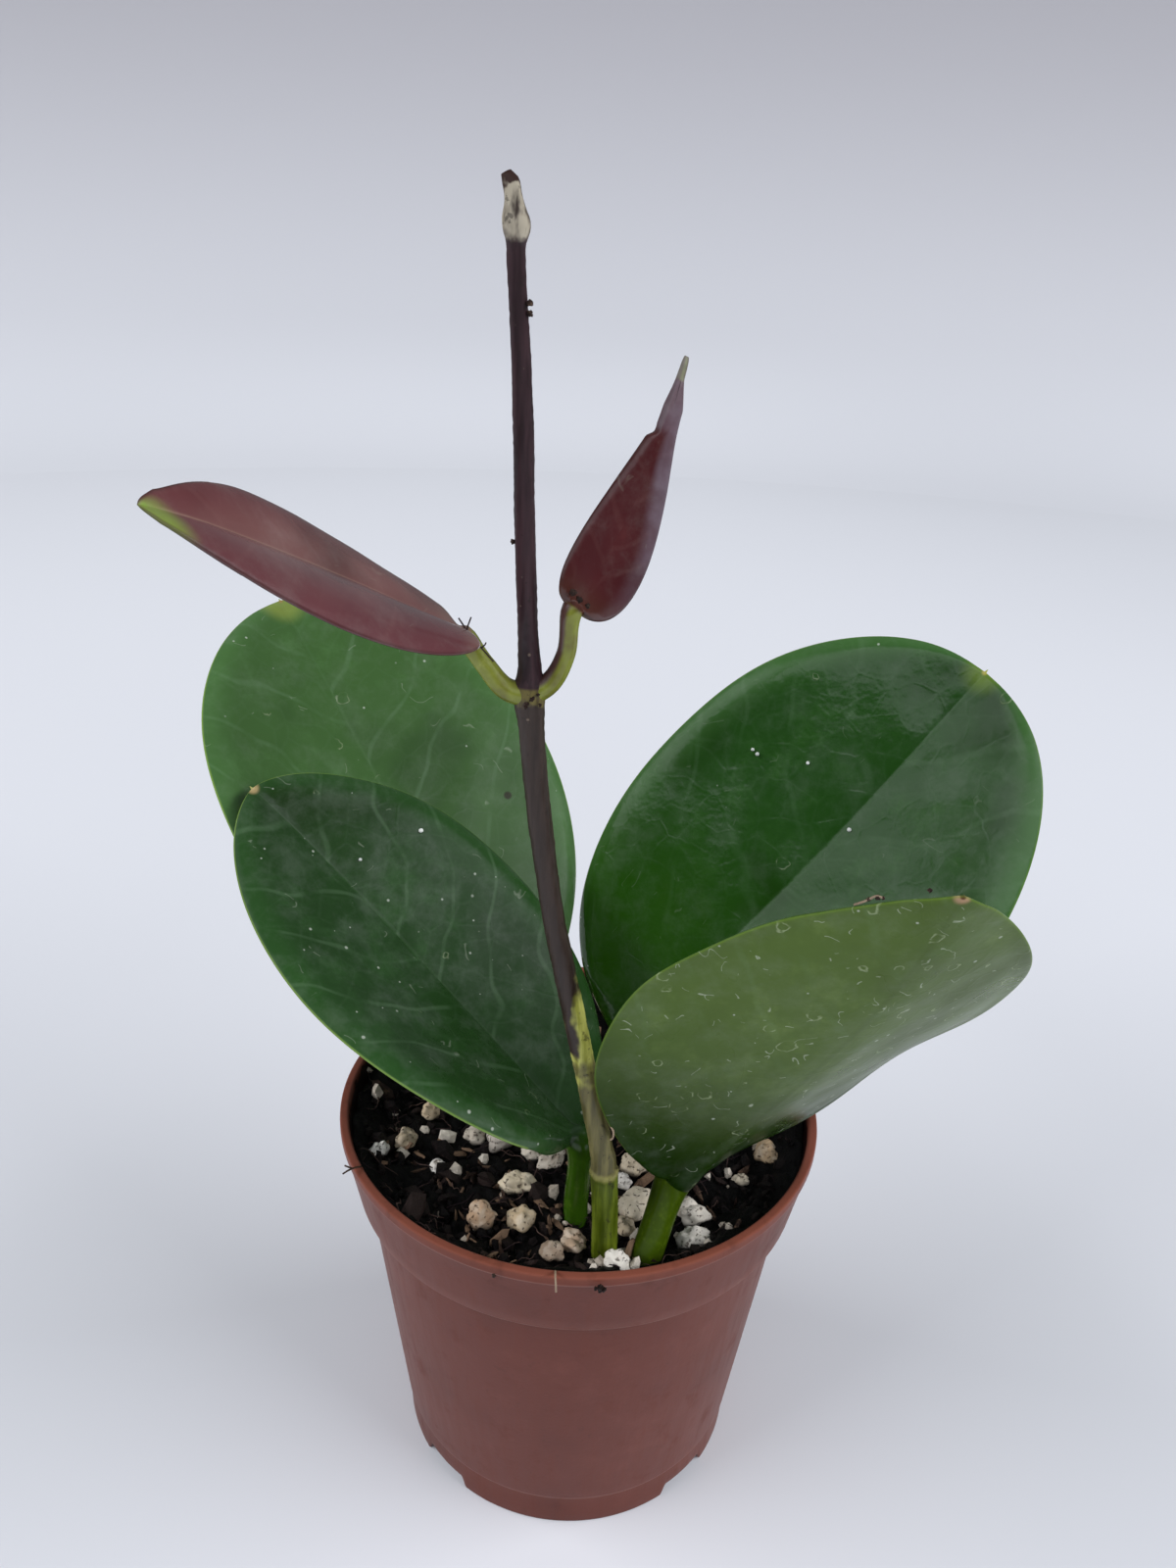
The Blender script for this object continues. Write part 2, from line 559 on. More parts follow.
def fibres(name, count, shortest, longest, girth, lift, seed, material):
    """Hair roots and bark fibres: thin tubes whose heading wanders along them, arched over the soil."""
    draw = np.random.default_rng(seed)
    knots, sides = FIBRE_KNOTS, FIBRE_SIDES

    def each(low, high):
        return draw.uniform(low, high, count)[:, None]

    length = draw.uniform(shortest, longest, count)
    x, y = scattered(draw, count, 0.5 * MM)
    share = np.linspace(0, 1, knots)
    heading = each(0, 2 * np.pi) + draw.normal(0, 1.3, count)[:, None] * share
    heading = heading + 0.6 * np.sin(share * each(3, 9))
    step = length[:, None] / (knots - 1)
    px = x[:, None] + np.cumsum(np.cos(heading), 1) * step
    py = y[:, None] + np.cumsum(np.sin(heading), 1) * step
    inside = np.minimum(1, (SOIL_RADIUS - 0.3 * MM) / np.maximum(np.hypot(px, py), 1e-9))
    px, py = px * inside, py * inside
    arch = np.sin(np.pi * share) * each(0, 1) * lift
    wobble = 0.25 * MM * np.sin(share * each(5, 14) + each(0, 6))
    pz = soil_top(px, py) + arch + wobble + 0.1 * MM
    radius = girth * each(0.5, 1.3) * (0.25 + np.sin(np.pi * np.clip(share, 0.04, 0.96)) ** 0.5)
    turn = full_turn(sides)[:, None]
    across = np.stack([-np.sin(heading), np.cos(heading), 0 * heading], -1)
    ring = np.cos(turn) * across[:, :, None, :] + np.sin(turn) * np.array([0, 0, 1.0])
    grid = np.stack([px, py, pz], -1)[:, :, None] + radius[:, :, None, None] * ring
    total = knots * sides
    ends = np.array([np.arange(sides)[::-1], total - sides + np.arange(sides)])
    shift = total * np.arange(count)[:, None, None]
    faces = [(ring_faces(knots, sides)[None] + shift).reshape(-1, 4), (ends[None] + shift).reshape(-1, sides)]
    tone = np.repeat(draw.uniform(0, 1, count), total)
    return piece(name, grid.reshape(-1, 3) + POT_AXIS, faces, material, marks={"tone": tone})


make_soil()
crumb_mix = soil_mix("peat_crumbs", "020202", "070506", "1a1413")
bark_mix = soil_mix("bark_slivers", "120c0a", "2b1f1b", "7a6350")
fibre_mix = soil_mix("fibre", "0e0a0b", "241b1e", "5c4a44")
chunk_mix = soil_mix("bark_chunks", "040304", "0e0a0a", "2b2220")
crumbs("soil_crumbs", 1500, 0.5 * MM, 2.2 * MM, (1, 0.85, 0.6), 0.0, 11, crumb_mix)
crumbs("bark_chunks", 110, 1.2 * MM, 3.4 * MM, (1.2, 0.8, 0.5), 0.14, 15, chunk_mix)
draw = np.random.default_rng(16)
turn = np.radians(draw.uniform(-168, -98, 60))
reach = draw.uniform(12, 23.5, 60)
litter = np.stack([reach * np.cos(turn), reach * np.sin(turn), draw.uniform(0.7, 2.3, 60)], -1)
crumbs("bark_slivers", 90, 0.9 * MM, 3.4 * MM, (1.3, 0.42, 0.25), 0.22, 12, bark_mix, litter)
fibres("soil_fibres", 260, 1.5 * MM, 6 * MM, 0.055 * MM, 0.8 * MM, 13, fibre_mix)


# The grains are crushed pumice, mixed into the soil to keep it open. Each is a light, pitted, angular stone
# of one to four millimetres, from chalk white to tan, lying half sunk in the top. GRAINS has each one's place
# from the pot's axis and its size in millimetres, its colour and its kind.
GRAINS = [
    (-8.8, -3.1, 3.9, "bdb5ab", "slab"),
    (6.4, -13.6, 3.5, "d8cdb6", "block"),
    (-10.5, -16.1, 3.2, "b29273", "block"),
    (21.3, -5.3, 2.9, "a88f6c", "round"),
    (6.4, -7.5, 2.6, "cdbfa4", "block"),
    (4.6, -10.1, 1.9, "e6e3de", "round"),
    (11.8, -14.7, 2.5, "cfcac0", "twin"),
    (11.8, -18.3, 2.1, "e0dcd4", "twin"),
    (-6.7, -11.3, 2.5, "dccdb0", "twin"),
    (-6.3, -15.9, 2.3, "c7b08c", "twin"),
    (-3.1, -7.2, 2.3, "b9afa2", "slab"),
    (-12.3, -2.7, 2.1, "c3b9aa", "block"),
    (-5.6, -5.7, 2.0, "cac1b3", "round"),
    (-17.4, 1.2, 2.2, "c9b595", "block"),
    (-19.7, -4.2, 2.1, "b8a68a", "block"),
    (-22.5, -6.7, 1.9, "e8e6e2", "round"),
    (-15.7, -8.0, 1.9, "ebe9e6", "round"),
    (4.7, -17.0, 2.0, "b8a88c", "block"),
    (-3.3, -20.6, 2.1, "8e7a66", "block"),
    (-0.9, -19.3, 2.0, "b59a80", "twin"),
    (3.5, -23.4, 1.9, "e4e0d8", "twin"),
    (18.2, -9.1, 1.7, "cfc4ae", "round"),
    (13.5, 6.5, 2.8, "cbbfa6", "block"),
    (6.0, 14.5, 3.3, "d5cebf", "block"),
    (-5.5, 11.5, 2.4, "b29478", "round"),
    (-12.0, 16.0, 2.9, "d9d3c6", "slab"),
    (15.5, 15.5, 2.2, "b9ab93", "block"),
    (-1.0, 20.5, 2.6, "cdc3b0", "twin"),
]
GRAIN_LIFT = 0.3
GRAIN_FULLNESS = 1.5
GRAIN_RINGS = 30
GRAIN_SIDES = 44
GRAIN_STRETCH = {
    "slab": (1.2, 0.95, 0.7),
    "block": (1.05, 0.95, 0.9),
    "round": (1, 0.9, 0.85),
    "twin": (1.3, 1.0, 0.95),
}


def pumice(name, code, seed):
    """Pumice: one mineral colour with clouds of chalk and of stain, open pits that hold dark soil, and a foot
    that the soil has blackened."""
    material, tree, shader, where = finish(name, Roughness=0.88, Specular_IOR_Level=0.3)
    shifted = add(tree, "Mapping", 0, {"Vector": where, "Location": (0.013 * seed, 0.007 * seed, 0.0)})
    stone = mixed(tree, 0.22, colour(code), colour("8f8880"))
    chalk, stain = noise(tree, shifted, 700.0, 4.0, 0.6), noise(tree, shifted, 480.0, 3.0)
    base = laid(tree, stone, "e2dccf", spread(tree, chalk, 0.4, 0.75, 0.0, 0.38))
    base = laid(tree, base, "86694c", spread(tree, stain, 0.55, 0.75, 0.0, 0.4))
    pits = spread(tree, noise(tree, shifted, 2300.0, 2.0, 0.5), 0.42, 0.32)
    base = laid(tree, base, "3a2c22", pits, 0.75)
    base = laid(tree, base, "120d0b", spread(tree, mark(tree, "height"), 0.05, -0.22, 0.0, 0.8))
    relief = bump(tree, pits, 0.12 * MM, 0.8)
    relief = bump(tree, noise(tree, shifted, 4200.0, 3.0, 0.7), 0.05 * MM, 0.8, relief)
    feed(tree, shader, Base_Color=base, Normal=relief)
    return material


def make_grain(number, x, y, size, code, kind):
    """A grain is a ball of directions. In each one its skin lies at the nearest of nine random flat cuts,
    softened by a power mean, and ripples pit it. A slab is left as cut and flattened, the other kinds are
    drawn half way to a ball, and a twin to two balls side by side."""
    draw = np.random.default_rng(500 + number)
    tilt = np.pi * (np.arange(GRAIN_RINGS) + 0.5) / GRAIN_RINGS
    ball = lathed(-np.sin(tilt), np.cos(tilt)[:, None], -full_turn(GRAIN_SIDES))
    ways, faces = capped(ball, [[0, 0, 1], [0, 0, -1]])
    cuts = draw.normal(size=(3, 9))
    cuts /= np.linalg.norm(cuts, axis=0)
    depth = draw.uniform(0.72, 1.0, 9)
    sharp = 3.5 if kind == "round" else 5.5
    nearness = np.maximum(ways @ cuts / depth, 0.0)
    reach = (0.55**sharp + (nearness**sharp).sum(1)) ** (-1 / sharp)
    if kind != "slab":
        reach = 0.6 * reach + 0.4 * reach.mean()
    if kind == "twin":
        aside = draw.normal(size=3) * [1, 1, 0.2]
        aside *= 0.55 / np.linalg.norm(aside)
        lobes = []
        for centre, girth in ((aside, 0.62), (-0.8 * aside, 0.74)):
            facing = ways @ centre
            lobes.append(facing + np.sqrt(np.maximum(facing**2 - centre @ centre + girth**2, 0)))
        reach = 0.6 * np.maximum(*lobes) + 0.4 * reach * 0.9
    pitted = 1 + 0.11 * ripple(ways, 0.9, 600 + number) - 0.05 * np.abs(ripple(ways, 0.35, 700 + number))
    shape = ways * (reach * pitted)[:, None]
    shape *= GRAIN_FULLNESS * size * MM / 2 / np.abs(shape).max() * np.array(GRAIN_STRETCH[kind])
    heading = draw.uniform(0, 2 * np.pi)
    cosine, sine = math.cos(heading), math.sin(heading)
    shape = shape @ np.array([[cosine, sine, 0], [-sine, cosine, 0], [0, 0, 1]])
    level = shape[:, 2] / (size * MM)
    x, y = x * MM, y * MM
    centre = POT_AXIS + [x, y, soil_top(x, y) + size * MM * GRAIN_LIFT]
    node = f"pumice_grain_{number:02d}"
    stone = pumice(node, code, number)
    piece(f"pumice_{number:02d}", shape + centre, faces, stone, [node], {"height": level})


for number, grain in enumerate(GRAINS, 1):
    make_grain(number, *grain)
grit_mix = soil_mix("pale_grit", "7c7266", "a79d90", "d9d2c6")
SMALL_STONES = [
    (-24.0, 2.1, 2.4), (-21.7, 0.6, 1.2), (-25.4, 5.9, 0.9), (-17.8, -2.3, 1.3), (-15.2, -3.2, 2.0),
    (-19.9, -5.9, 1.4), (-13.7, -9.3, 1.8), (-10.7, -7.2, 1.5), (-3.0, -11.6, 1.9), (-8.4, -12.9, 0.9),
    (-2.3, -15.4, 1.1), (-12.1, -19.7, 1.0), (1.1, -22.6, 1.4), (5.8, -18.9, 2.0), (4.4, -20.8, 1.2),
    (10.3, -17.5, 1.2), (13.0, -20.0, 1.0), (15.5, -18.0, 1.0), (16.8, -8.1, 1.3), (20.6, -3.6, 1.2),
    (14.4, -9.1, 1.0), (0.7, -5.1, 1.2), (0.8, -14.2, 1.2), (5.2, -23.6, 1.7), (1.9, -23.3, 1.5),
]
crumbs("pale_grit", 60, 0.4 * MM, 1.1 * MM, (1, 0.9, 0.75), 0.3, 14, grit_mix, SMALL_STONES)


# The stems. The rooted front cutting is green up to a ring scar just above the soil, where the vine has
# grown out of it. The vine is woody and dark, bears the young leaves at its upper node, and has dried at
# its tip. The rear cutting is a short green stump that carries the two larger leaves.

# Stations: places from the pot's axis, and the radius there, in millimetres.
VINE = [
    (3.0, -18.8, 27, 1.3),
    (2.8, -20.0, 34, 1.35),
    (2.4, -20.5, 42, 1.32),
    (2.15, -20.3, 48, 1.3),
    (2.0, -20.2, 51.0, 1.34),
    (1.95, -20.2, 51.9, 1.38),
    (1.9, -20.2, 52.35, 1.46),
    (1.85, -20.2, 52.75, 1.28),
    (1.8, -20.2, 53.6, 1.22),
    (0.4, -19.9, 60.4, 1.06),
    (-1.9, -19.5, 71.2, 1.05),
    (-4.0, -19.2, 81.2, 1.0),
    (-5.5, -18.8, 91.5, 1.06),
    (-6.2, -18.6, 98.4, 1.12),
    (-6.4, -18.5, 100.6, 1.3),
    (-6.4, -18.5, 101.6, 1.32),
    (-6.4, -18.4, 102.3, 1.28),
    (-6.42, -18.4, 103.3, 1.02),
    (-6.6, -18.3, 105.6, 0.86),
    (-7.1, -18.0, 116.0, 0.83),
    (-7.5, -17.6, 126.5, 0.77),
    (-7.95, -17.4, 133.0, 0.7),
    (-8.05, -17.3, 135.2, 0.74),
    (-8.1, -17.25, 136.6, 0.92),
    (-8.2, -17.2, 137.7, 0.86),
    (-8.35, -17.2, 138.8, 0.68),
    (-8.6, -17.15, 139.7, 0.56),
    (-8.85, -17.1, 140.2, 0.38),
]
REAR_CUTTING = [
    (1.2, 4.4, 27, 1.4),
    (1.0, 4.3, 36, 1.45),
    (0.8, 4.2, 41.6, 1.75),
    (0.8, 4.2, 43.1, 1.4),
    (0.8, 4.2, 43.4, 0.9),
]
STEM_SIDES = 28


def spine(stations, spacing=0.3):
    """A smooth line through stations of x, y, z and radius in millimetres: a centripetal Catmull-Rom curve,
    where a station's slope weighs its two neighbours by the root of their distance."""
    stations = np.array(stations, float)
    line = np.concatenate([2 * stations[:1] - stations[1:2], stations, 2 * stations[-1:] - stations[-2:-1]])
    gap = np.sqrt(np.linalg.norm(np.diff(line[:, :3], axis=0), axis=1))[:, None]
    steps = np.diff(line, axis=0)
    slope = steps[:-1] / gap[:-1] - (line[2:] - line[:-2]) / (gap[:-1] + gap[1:]) + steps[1:] / gap[1:]
    parts = []
    spans = zip(stations[:-1], stations[1:], slope[:-1], slope[1:], gap[1:-1])
    for start, end, leave, arrive, width in spans:
        count = max(2, int(np.linalg.norm(end[:3] - start[:3]) / spacing))
        t = np.linspace(0, 1, count, endpoint=False)[:, None]
        parts.append(
            (2 * t**3 - 3 * t**2 + 1) * start + (t**3 - 2 * t**2 + t) * leave * width
            + (3 * t**2 - 2 * t**3) * end + (t**3 - t**2) * arrive * width
        )
    line = np.concatenate(parts + [stations[-1:]])
    ways = np.gradient(line[:, :3], axis=0)
    return line[:, :3] * MM, ways / np.linalg.norm(ways, axis=1, keepdims=True), line[:, 3] * MM


def stem_tube(points, ways, radii, sides, across=(1.0, 0.0, 0.0)):
    """Rings round a line: the across direction is squared up to the line at each point, and the ring turns
    from it towards the third direction. Returns the rings and the direction out of each point."""
    across = np.array(across) - (ways @ np.array(across))[:, None] * ways
    across /= np.linalg.norm(across, axis=1, keepdims=True)
    aside = np.cross(ways, across)
    turn = full_turn(sides)[:, None]
    outwards = np.cos(turn) * across[:, None] + np.sin(turn) * aside[:, None]
    return points[:, None] + outwards * radii[:, None, None], outwards


def vine_bark():
    """The vine: green wood at soil level, tan above the ring scar, a green streak where the sun reached it,
    then dark brown bark that turns purple above the node and grey and dry at the tip. Pale warts dot it."""
    material, tree, shader, where = finish("vine_bark", IOR=1.45)
    height = part_of(tree, where, "Z")
    streak = noise(tree, drawn_out(tree, where, 0.08), 1500.0, 3.0, 0.6)

    def uneven(per_metre, reach):
        cloud = noise(tree, where, per_metre, 3.0)
        return work(tree, "ADD", height, spread(tree, cloud, 0.3, 0.7, -reach * MM, reach * MM))

    def above(under, dark, light, level, low, high, full=0.7):
        streaked = mixed(tree, spread(tree, streak, 0.3, full), colour(dark), colour(light))
        return mixed(tree, spread(tree, level, low * MM, high * MM), under, streaked)

    ragged, close = uneven(320.0, 2.2), uneven(600.0, 0.5)
    base = mixed(tree, spread(tree, streak, 0.35, 0.7), colour("3a4706"), colour("62701a"))
    base = above(base, "4a4628", "736d44", height, 51.9, 52.6)
    base = above(base, "989a42", "c8ca6c", ragged, 62, 66, full=0.65)
    side = part_of(tree, add(tree, "NewGeometry", 1), "X")
    leaning = work(tree, "ADD", ragged, spread(tree, side, -0.7, 0.7, 5 * MM, -1.5 * MM))
    base = above(base, "281e19", "392e29", leaning, 69, 73)
    base = above(base, "3c3220", "6d6434", close, 100.5, 101.1)
    base = above(base, "24161a", "382429", height, 102.0, 102.3)
    cracks = noise(tree, drawn_out(tree, where, 0.3), 1300.0, 3.0)
    dry = mixed(tree, spread(tree, cracks, 0.36, 0.62), colour("3a302a"), colour("a9a190"))
    base = mixed(tree, spread(tree, close, 135.4 * MM, 136.6 * MM), base, dry)
    base = laid(tree, base, "33201b", spread(tree, close, 139.3 * MM, 139.7 * MM))
    scar = times(tree, spread(tree, height, 51.7 * MM, 52.2 * MM), spread(tree, height, 52.9 * MM, 52.5 * MM))
    base = laid(tree, base, "a3a05a", scar, 0.4)
    warts = dotted(tree, where, 1300.0, 0.09, 0.2)
    base = laid(tree, base, "9a8878", warts, 0.35)
    base = laid(tree, base, "1d1512", spread(tree, noise(tree, where, 1100.0, 3.0, 0.7), 0.6, 0.68), 0.6)
    relief = bump(tree, warts, 0.07 * MM, 1.0, bump(tree, streak, 0.08 * MM))
    rough = spread(tree, streak, 0.3, 0.7, 0.38, 0.55)
    feed(tree, shader, Base_Color=base, Roughness=rough, Normal=relief)
    return material


def green_stem():
    """Green soft wood with long pale streaks and a few brown scuffs, as on a rooted leaf cutting."""
    material, tree, shader, where = finish("green_stem", Roughness=0.45, IOR=1.45)
    streak = noise(tree, drawn_out(tree, where, 0.1), 1300.0, 3.0, 0.6)
    base = mixed(tree, spread(tree, streak, 0.3, 0.7), colour("3c4a12"), colour("6d7c2b"))
    base = laid(tree, base, "5c4630", spread(tree, noise(tree, where, 700.0, 3.0), 0.6, 0.72), 0.6)
    feed(tree, shader, Base_Color=base, Normal=bump(tree, streak, 0.06 * MM))
    return material


def make_stem(name, stations, material, node):
    """A stem is a tube along its line. Long ripples along it and short ones round it roughen the bark, and
    the dried tip above the young leaves is wrinkled and pinched more deeply."""
    points, ways, radii = spine(stations)
    rings, outwards = stem_tube(points, ways, radii, STEM_SIDES)
    rough = 0.035 * ripple(rings * [1, 1, 0.12], 0.9 * MM, 21) + 0.02 * ripple(rings, 0.7 * MM, 22)
    dried = smoothstep(133 * MM, 136 * MM, rings[..., 2])
    pinch = 0.16 * ripple(rings * [1, 1, 0.35], 1.1 * MM, 23) * dried
    rings = rings + outwards * (radii[:, None] * (rough + pinch))[..., None]
    made, faces = capped(rings + POT_AXIS)
    return piece(name, made, faces, material, [node])


make_stem("vine", VINE, vine_bark(), "vine_stem")
make_stem("rear_cutting", REAR_CUTTING, green_stem(), "rear_cutting_stem")


# The leaves are thick and leathery, each grown in one piece with its stalk. The four mature ones are round
# to oval and dark green with a thin yellow margin, paler underneath. The two young ones are narrow, thin
# and still red brown with a green tip.

# Places are millimetres from the pot's axis, and angles degrees. heading, rise and roll aim the blade at its
# base, and bend, sway and twist turn it on the way to its tip. The outline is blunter towards the end whose
# fullness is lower. fold and cup are the slope of each half at the midrib and how much more it turns up by
# the margin, and curl is how far the very margin turns down. A key that ends in left or right holds for that
# half only. halves widen the left and the right half, drip is the drip tip's length, and calm is how strong
# the waves and the quilting are.
USUAL_LEAF = {
    "thickness": 1.3, "halves": (1, 1), "shoulder": (1, 0, 0), "drip_end": 0.8, "curl_reach": 3.0,
    "flare": (0.35, 1.6), "calm": 1, "groove": 0.06,
}
LEAVES = {
    "leaf_front_left": {
        **USUAL_LEAF, "base": (-0.6, -15, 51.9), "length": 50, "width": 32.8,
        "heading": 146, "rise": 31.8, "roll": 12.7, "bend": -13, "sway": -13, "twist": -33,
        "base_fullness": 0.45, "tip_fullness": 0.61, "fold": 12.3, "cup": 10.8, "curl": 34, "drip": 0.35,
        "stalk": [(2.8, -20, 34), (0.3, -16.4, 37), (-0.5, -15.2, 42)], "stalk_radius": 1.28,
    },
    "leaf_front_right": {
        **USUAL_LEAF, "base": (9.7, -16.2, 48.1), "length": 50.9, "width": 39.9,
        "heading": -25, "rise": 54, "roll": -36.5, "bend": 3, "sway": 26.5, "twist": -21,
        "base_fullness": 0.68, "tip_fullness": 0.84, "fold": 13.6, "cup": 5.2, "curl": 20, "drip": 0.2,
        "stalk": [(2.7, -20.2, 36), (4.6, -21.2, 38.4), (6.2, -21.2, 41)], "stalk_radius": 1.6,
        "soft_fold": 3.0,
    },
    "leaf_rear_left": {
        **USUAL_LEAF, "base": (-7.5, 1.3, 50.2), "length": 61.5, "width": 43,
        "heading": 141, "rise": 52.5, "roll": -4.2, "bend": 10.5, "sway": 3.8, "twist": -11.7,
        "base_fullness": 0.69, "tip_fullness": 0.62, "fold": 9.4, "cup": 16.1, "curl": 26, "drip": 0.4,
        "stalk": [(0.8, 4.2, 41.6), (-2, 3.2, 43.3), (-5.2, 2.1, 46.2)], "stalk_radius": 1.3,
    },
    "leaf_rear_right": {
        **USUAL_LEAF, "base": (5.0, 7.0, 47.7), "length": 61, "width": 44.9,
        "heading": 8.3, "rise": 45.4, "roll": 46.6, "bend": -11.2, "sway": -6, "twist": -1.6,
        "base_fullness": 0.45, "tip_fullness": 0.46, "fold": 9.6, "cup": 10.7, "curl": 30, "drip": 0.45,
        "stalk": [(0.8, 4.2, 41.6), (1.8, 5.1, 43), (3.5, 6.4, 45.4)], "stalk_radius": 1.3,
    },
    "young_leaf_left": {
        **USUAL_LEAF, "base": (-11.9, -18.6, 106.2), "length": 30.3, "width": 13.9, "thickness": 0.9,
        "heading": 220, "rise": 29, "roll": -11.3, "bend": -2.2, "sway": -15.5, "twist": -33,
        "base_fullness": 0.42, "tip_fullness": 0.78, "fold": 22.8, "cup": -44, "curl": 8, "drip": 0.4,
        "stalk": [(-6.4, -18.5, 101.3), (-8.4, -18.5, 101.8), (-10.2, -18.5, 103.9)], "stalk_radius": 0.76,
        "flare": (0.55, 3.6), "halves": (1.02, 1), "drip_width": 1.2, "drip_end": 0.5, "calm": 0.35,
    },
    "young_leaf_right": {
        **USUAL_LEAF, "base": (-3.1, -18.65, 108.8), "length": 20.6, "width": 6.3, "thickness": 0.8,
        "heading": 37, "rise": 49.5, "roll": 77.7, "bend": 1.1, "sway": -17.5, "twist": 0.8,
        "base_fullness": 0.34, "tip_fullness": 1.05, "fold": 1, "cup": 8, "curl": 8, "drip": 1.9,
        "stalk": [(-6.4, -18.5, 101.4), (-4.7, -18.5, 102.5), (-3.5, -18.5, 105)], "stalk_radius": 0.73,
        "flare": (0.6, 3.6), "halves": (0.98, 1.27), "drip_width": 0.4, "drip_end": 0.12, "calm": 0.5,
        "tip_right": 1.3, "fold_left": 1.5, "curl_right": -28, "curl_reach": 1.2,
        "shoulder": (0.8, 0.62, 1.1), "groove": 0,
    },
}
BLADE_ROWS = 150
HALF_COLUMNS = 42
SECTION_STEPS = 240
USUAL_LENGTH = 55
USUAL_WIDTH = 40
WAVE_HEIGHT = 0.28
QUILT_HEIGHT = 0.06
GROOVE_WIDTH = 0.55
RIB_SHARE = 0.35
STALK_SPACING = 0.35
STALK_RUN_ON = 3
VEIN_SPACING = 9.5
VEIN_LEAN = 0.75
VEIN_CURVE = 0.018


def turned(vector, axis, angle):
    """The vector turned by the angle about the axis: its parts along and across the axis, the second one
    turning through the plane square to it."""
    return (
        vector * math.cos(angle) + np.cross(axis, vector) * math.sin(angle)
        + axis * (vector @ axis) * (1 - math.cos(angle))
    )


def midrib(leaf, shares):
    """The midrib's points and its frames at each share of the blade's length: along it, across to its right
    and out of its upper side. Each step turns the frame by its part of bend, sway and twist."""
    heading, rise, roll, bend, sway, twist = (
        math.radians(leaf[key]) for key in ("heading", "rise", "roll", "bend", "sway", "twist")
    )
    along = np.array([math.cos(rise) * math.cos(heading), math.cos(rise) * math.sin(heading), math.sin(rise)])
    across = np.array([math.sin(heading), -math.cos(heading), 0.0])
    up = np.cross(across, along)
    across, up = turned(across, along, roll), turned(up, along, roll)
    centre = np.array(leaf["base"], float)
    rows = []
    for step in np.diff(shares, prepend=0.0):
        before = along
        along, up = turned(along, across, -bend * step), turned(up, across, -bend * step)
        along, across = turned(along, up, -sway * step), turned(across, up, -sway * step)
        across, up = turned(across, along, twist * step), turned(up, along, twist * step)
        middle = before + along
        centre = centre + middle / np.linalg.norm(middle) * leaf["length"] * step
        rows.append((centre, along, across, up))
    return [np.array(part) for part in zip(*rows)]


def half_width(leaf, share, side):
    """The width in millimetres of the blade's right (1) or left (-1) half at each share of its length: a
    power of the share from the base times a power of the share from the tip, ending in a pointed drip tip.
    Where the leaf has a shoulder, its left half ends early there and both halves go on as a narrow neck."""
    fullness = leaf.get("tip_right", leaf["tip_fullness"]) if side > 0 else leaf["tip_fullness"]
    widest = leaf["base_fullness"] / (leaf["base_fullness"] + fullness)
    full = leaf["width"] / 2 * leaf["halves"][(side + 1) // 2]
    ends_at, left_neck, right_neck = leaf["shoulder"]
    ends_at, neck = (ends_at, left_neck) if side < 0 else (1, right_neck)
    lobe = share / (0.75 + 0.25 * ends_at) if ends_at < 1 else share
    body = (
        full * (np.clip(lobe, 0, 1) / widest) ** leaf["base_fullness"]
        * (np.clip(1 - lobe, 0, 1) / (1 - widest)) ** fullness
    )
    body = body * (1 - smoothstep(ends_at - 0.06, ends_at, share)) if ends_at < 1 else body
    narrow = neck * smoothstep(0.3, 0.6, share) * np.clip((1.01 - share) / 0.12, 0, 1) ** 0.7
    end = 1 + leaf["drip"] / leaf["length"]
    drip = leaf.get("drip_width", 0.75 * leaf["drip"])
    drip = drip * np.clip((end - share) / (3 * (end - 1)), 0, 1) ** leaf["drip_end"] * (share > 0.8)
    return (body**3 + drip**3 + narrow**3) ** (1 / 3)


def half_section(leaf, share, width, v, fold, curl):
    """How one half of the blade runs at each share v of the way from the midrib to the margin: how far out
    and how far up it has come, and its slope there. The slope starts at the fold, or comes to it slowly where
    the fold is soft, adds the cup's part and loses the curl's near the margin; the run is its cosines and
    sines summed in even steps."""
    steps = SECTION_STEPS

    def slope_at(reach):
        margin = width[:, None] - reach
        turned_down = 1 - smoothstep(0, leaf["curl_reach"], margin)
        down = math.radians(curl) * turned_down * np.clip(width / 9, 0, 1)[:, None]
        settled = smoothstep(0, leaf["soft_fold"], reach) if "soft_fold" in leaf else 1
        slope = math.radians(fold) * settled + math.radians(leaf["cup"]) * reach / (leaf["width"] / 2)
        return slope * smoothstep(-0.01, 0.05, share)[:, None] - down

    between = slope_at(width[:, None] * (np.arange(steps) + 0.5) / steps)
    start = np.zeros((len(share), 1))
    step = width[:, None] / steps
    out = np.concatenate([start, np.cumsum(np.cos(between) * step, 1)], 1)
    rise = np.concatenate([start, np.cumsum(np.sin(between) * step, 1)], 1)
    low = np.minimum((v * steps).astype(int), steps - 1)
    part = v * steps - low
    out = out[:, low] * (1 - part) + out[:, low + 1] * part
    rise = rise[:, low] * (1 - part) + rise[:, low + 1] * part
    return out, rise, slope_at(width[:, None] * v)


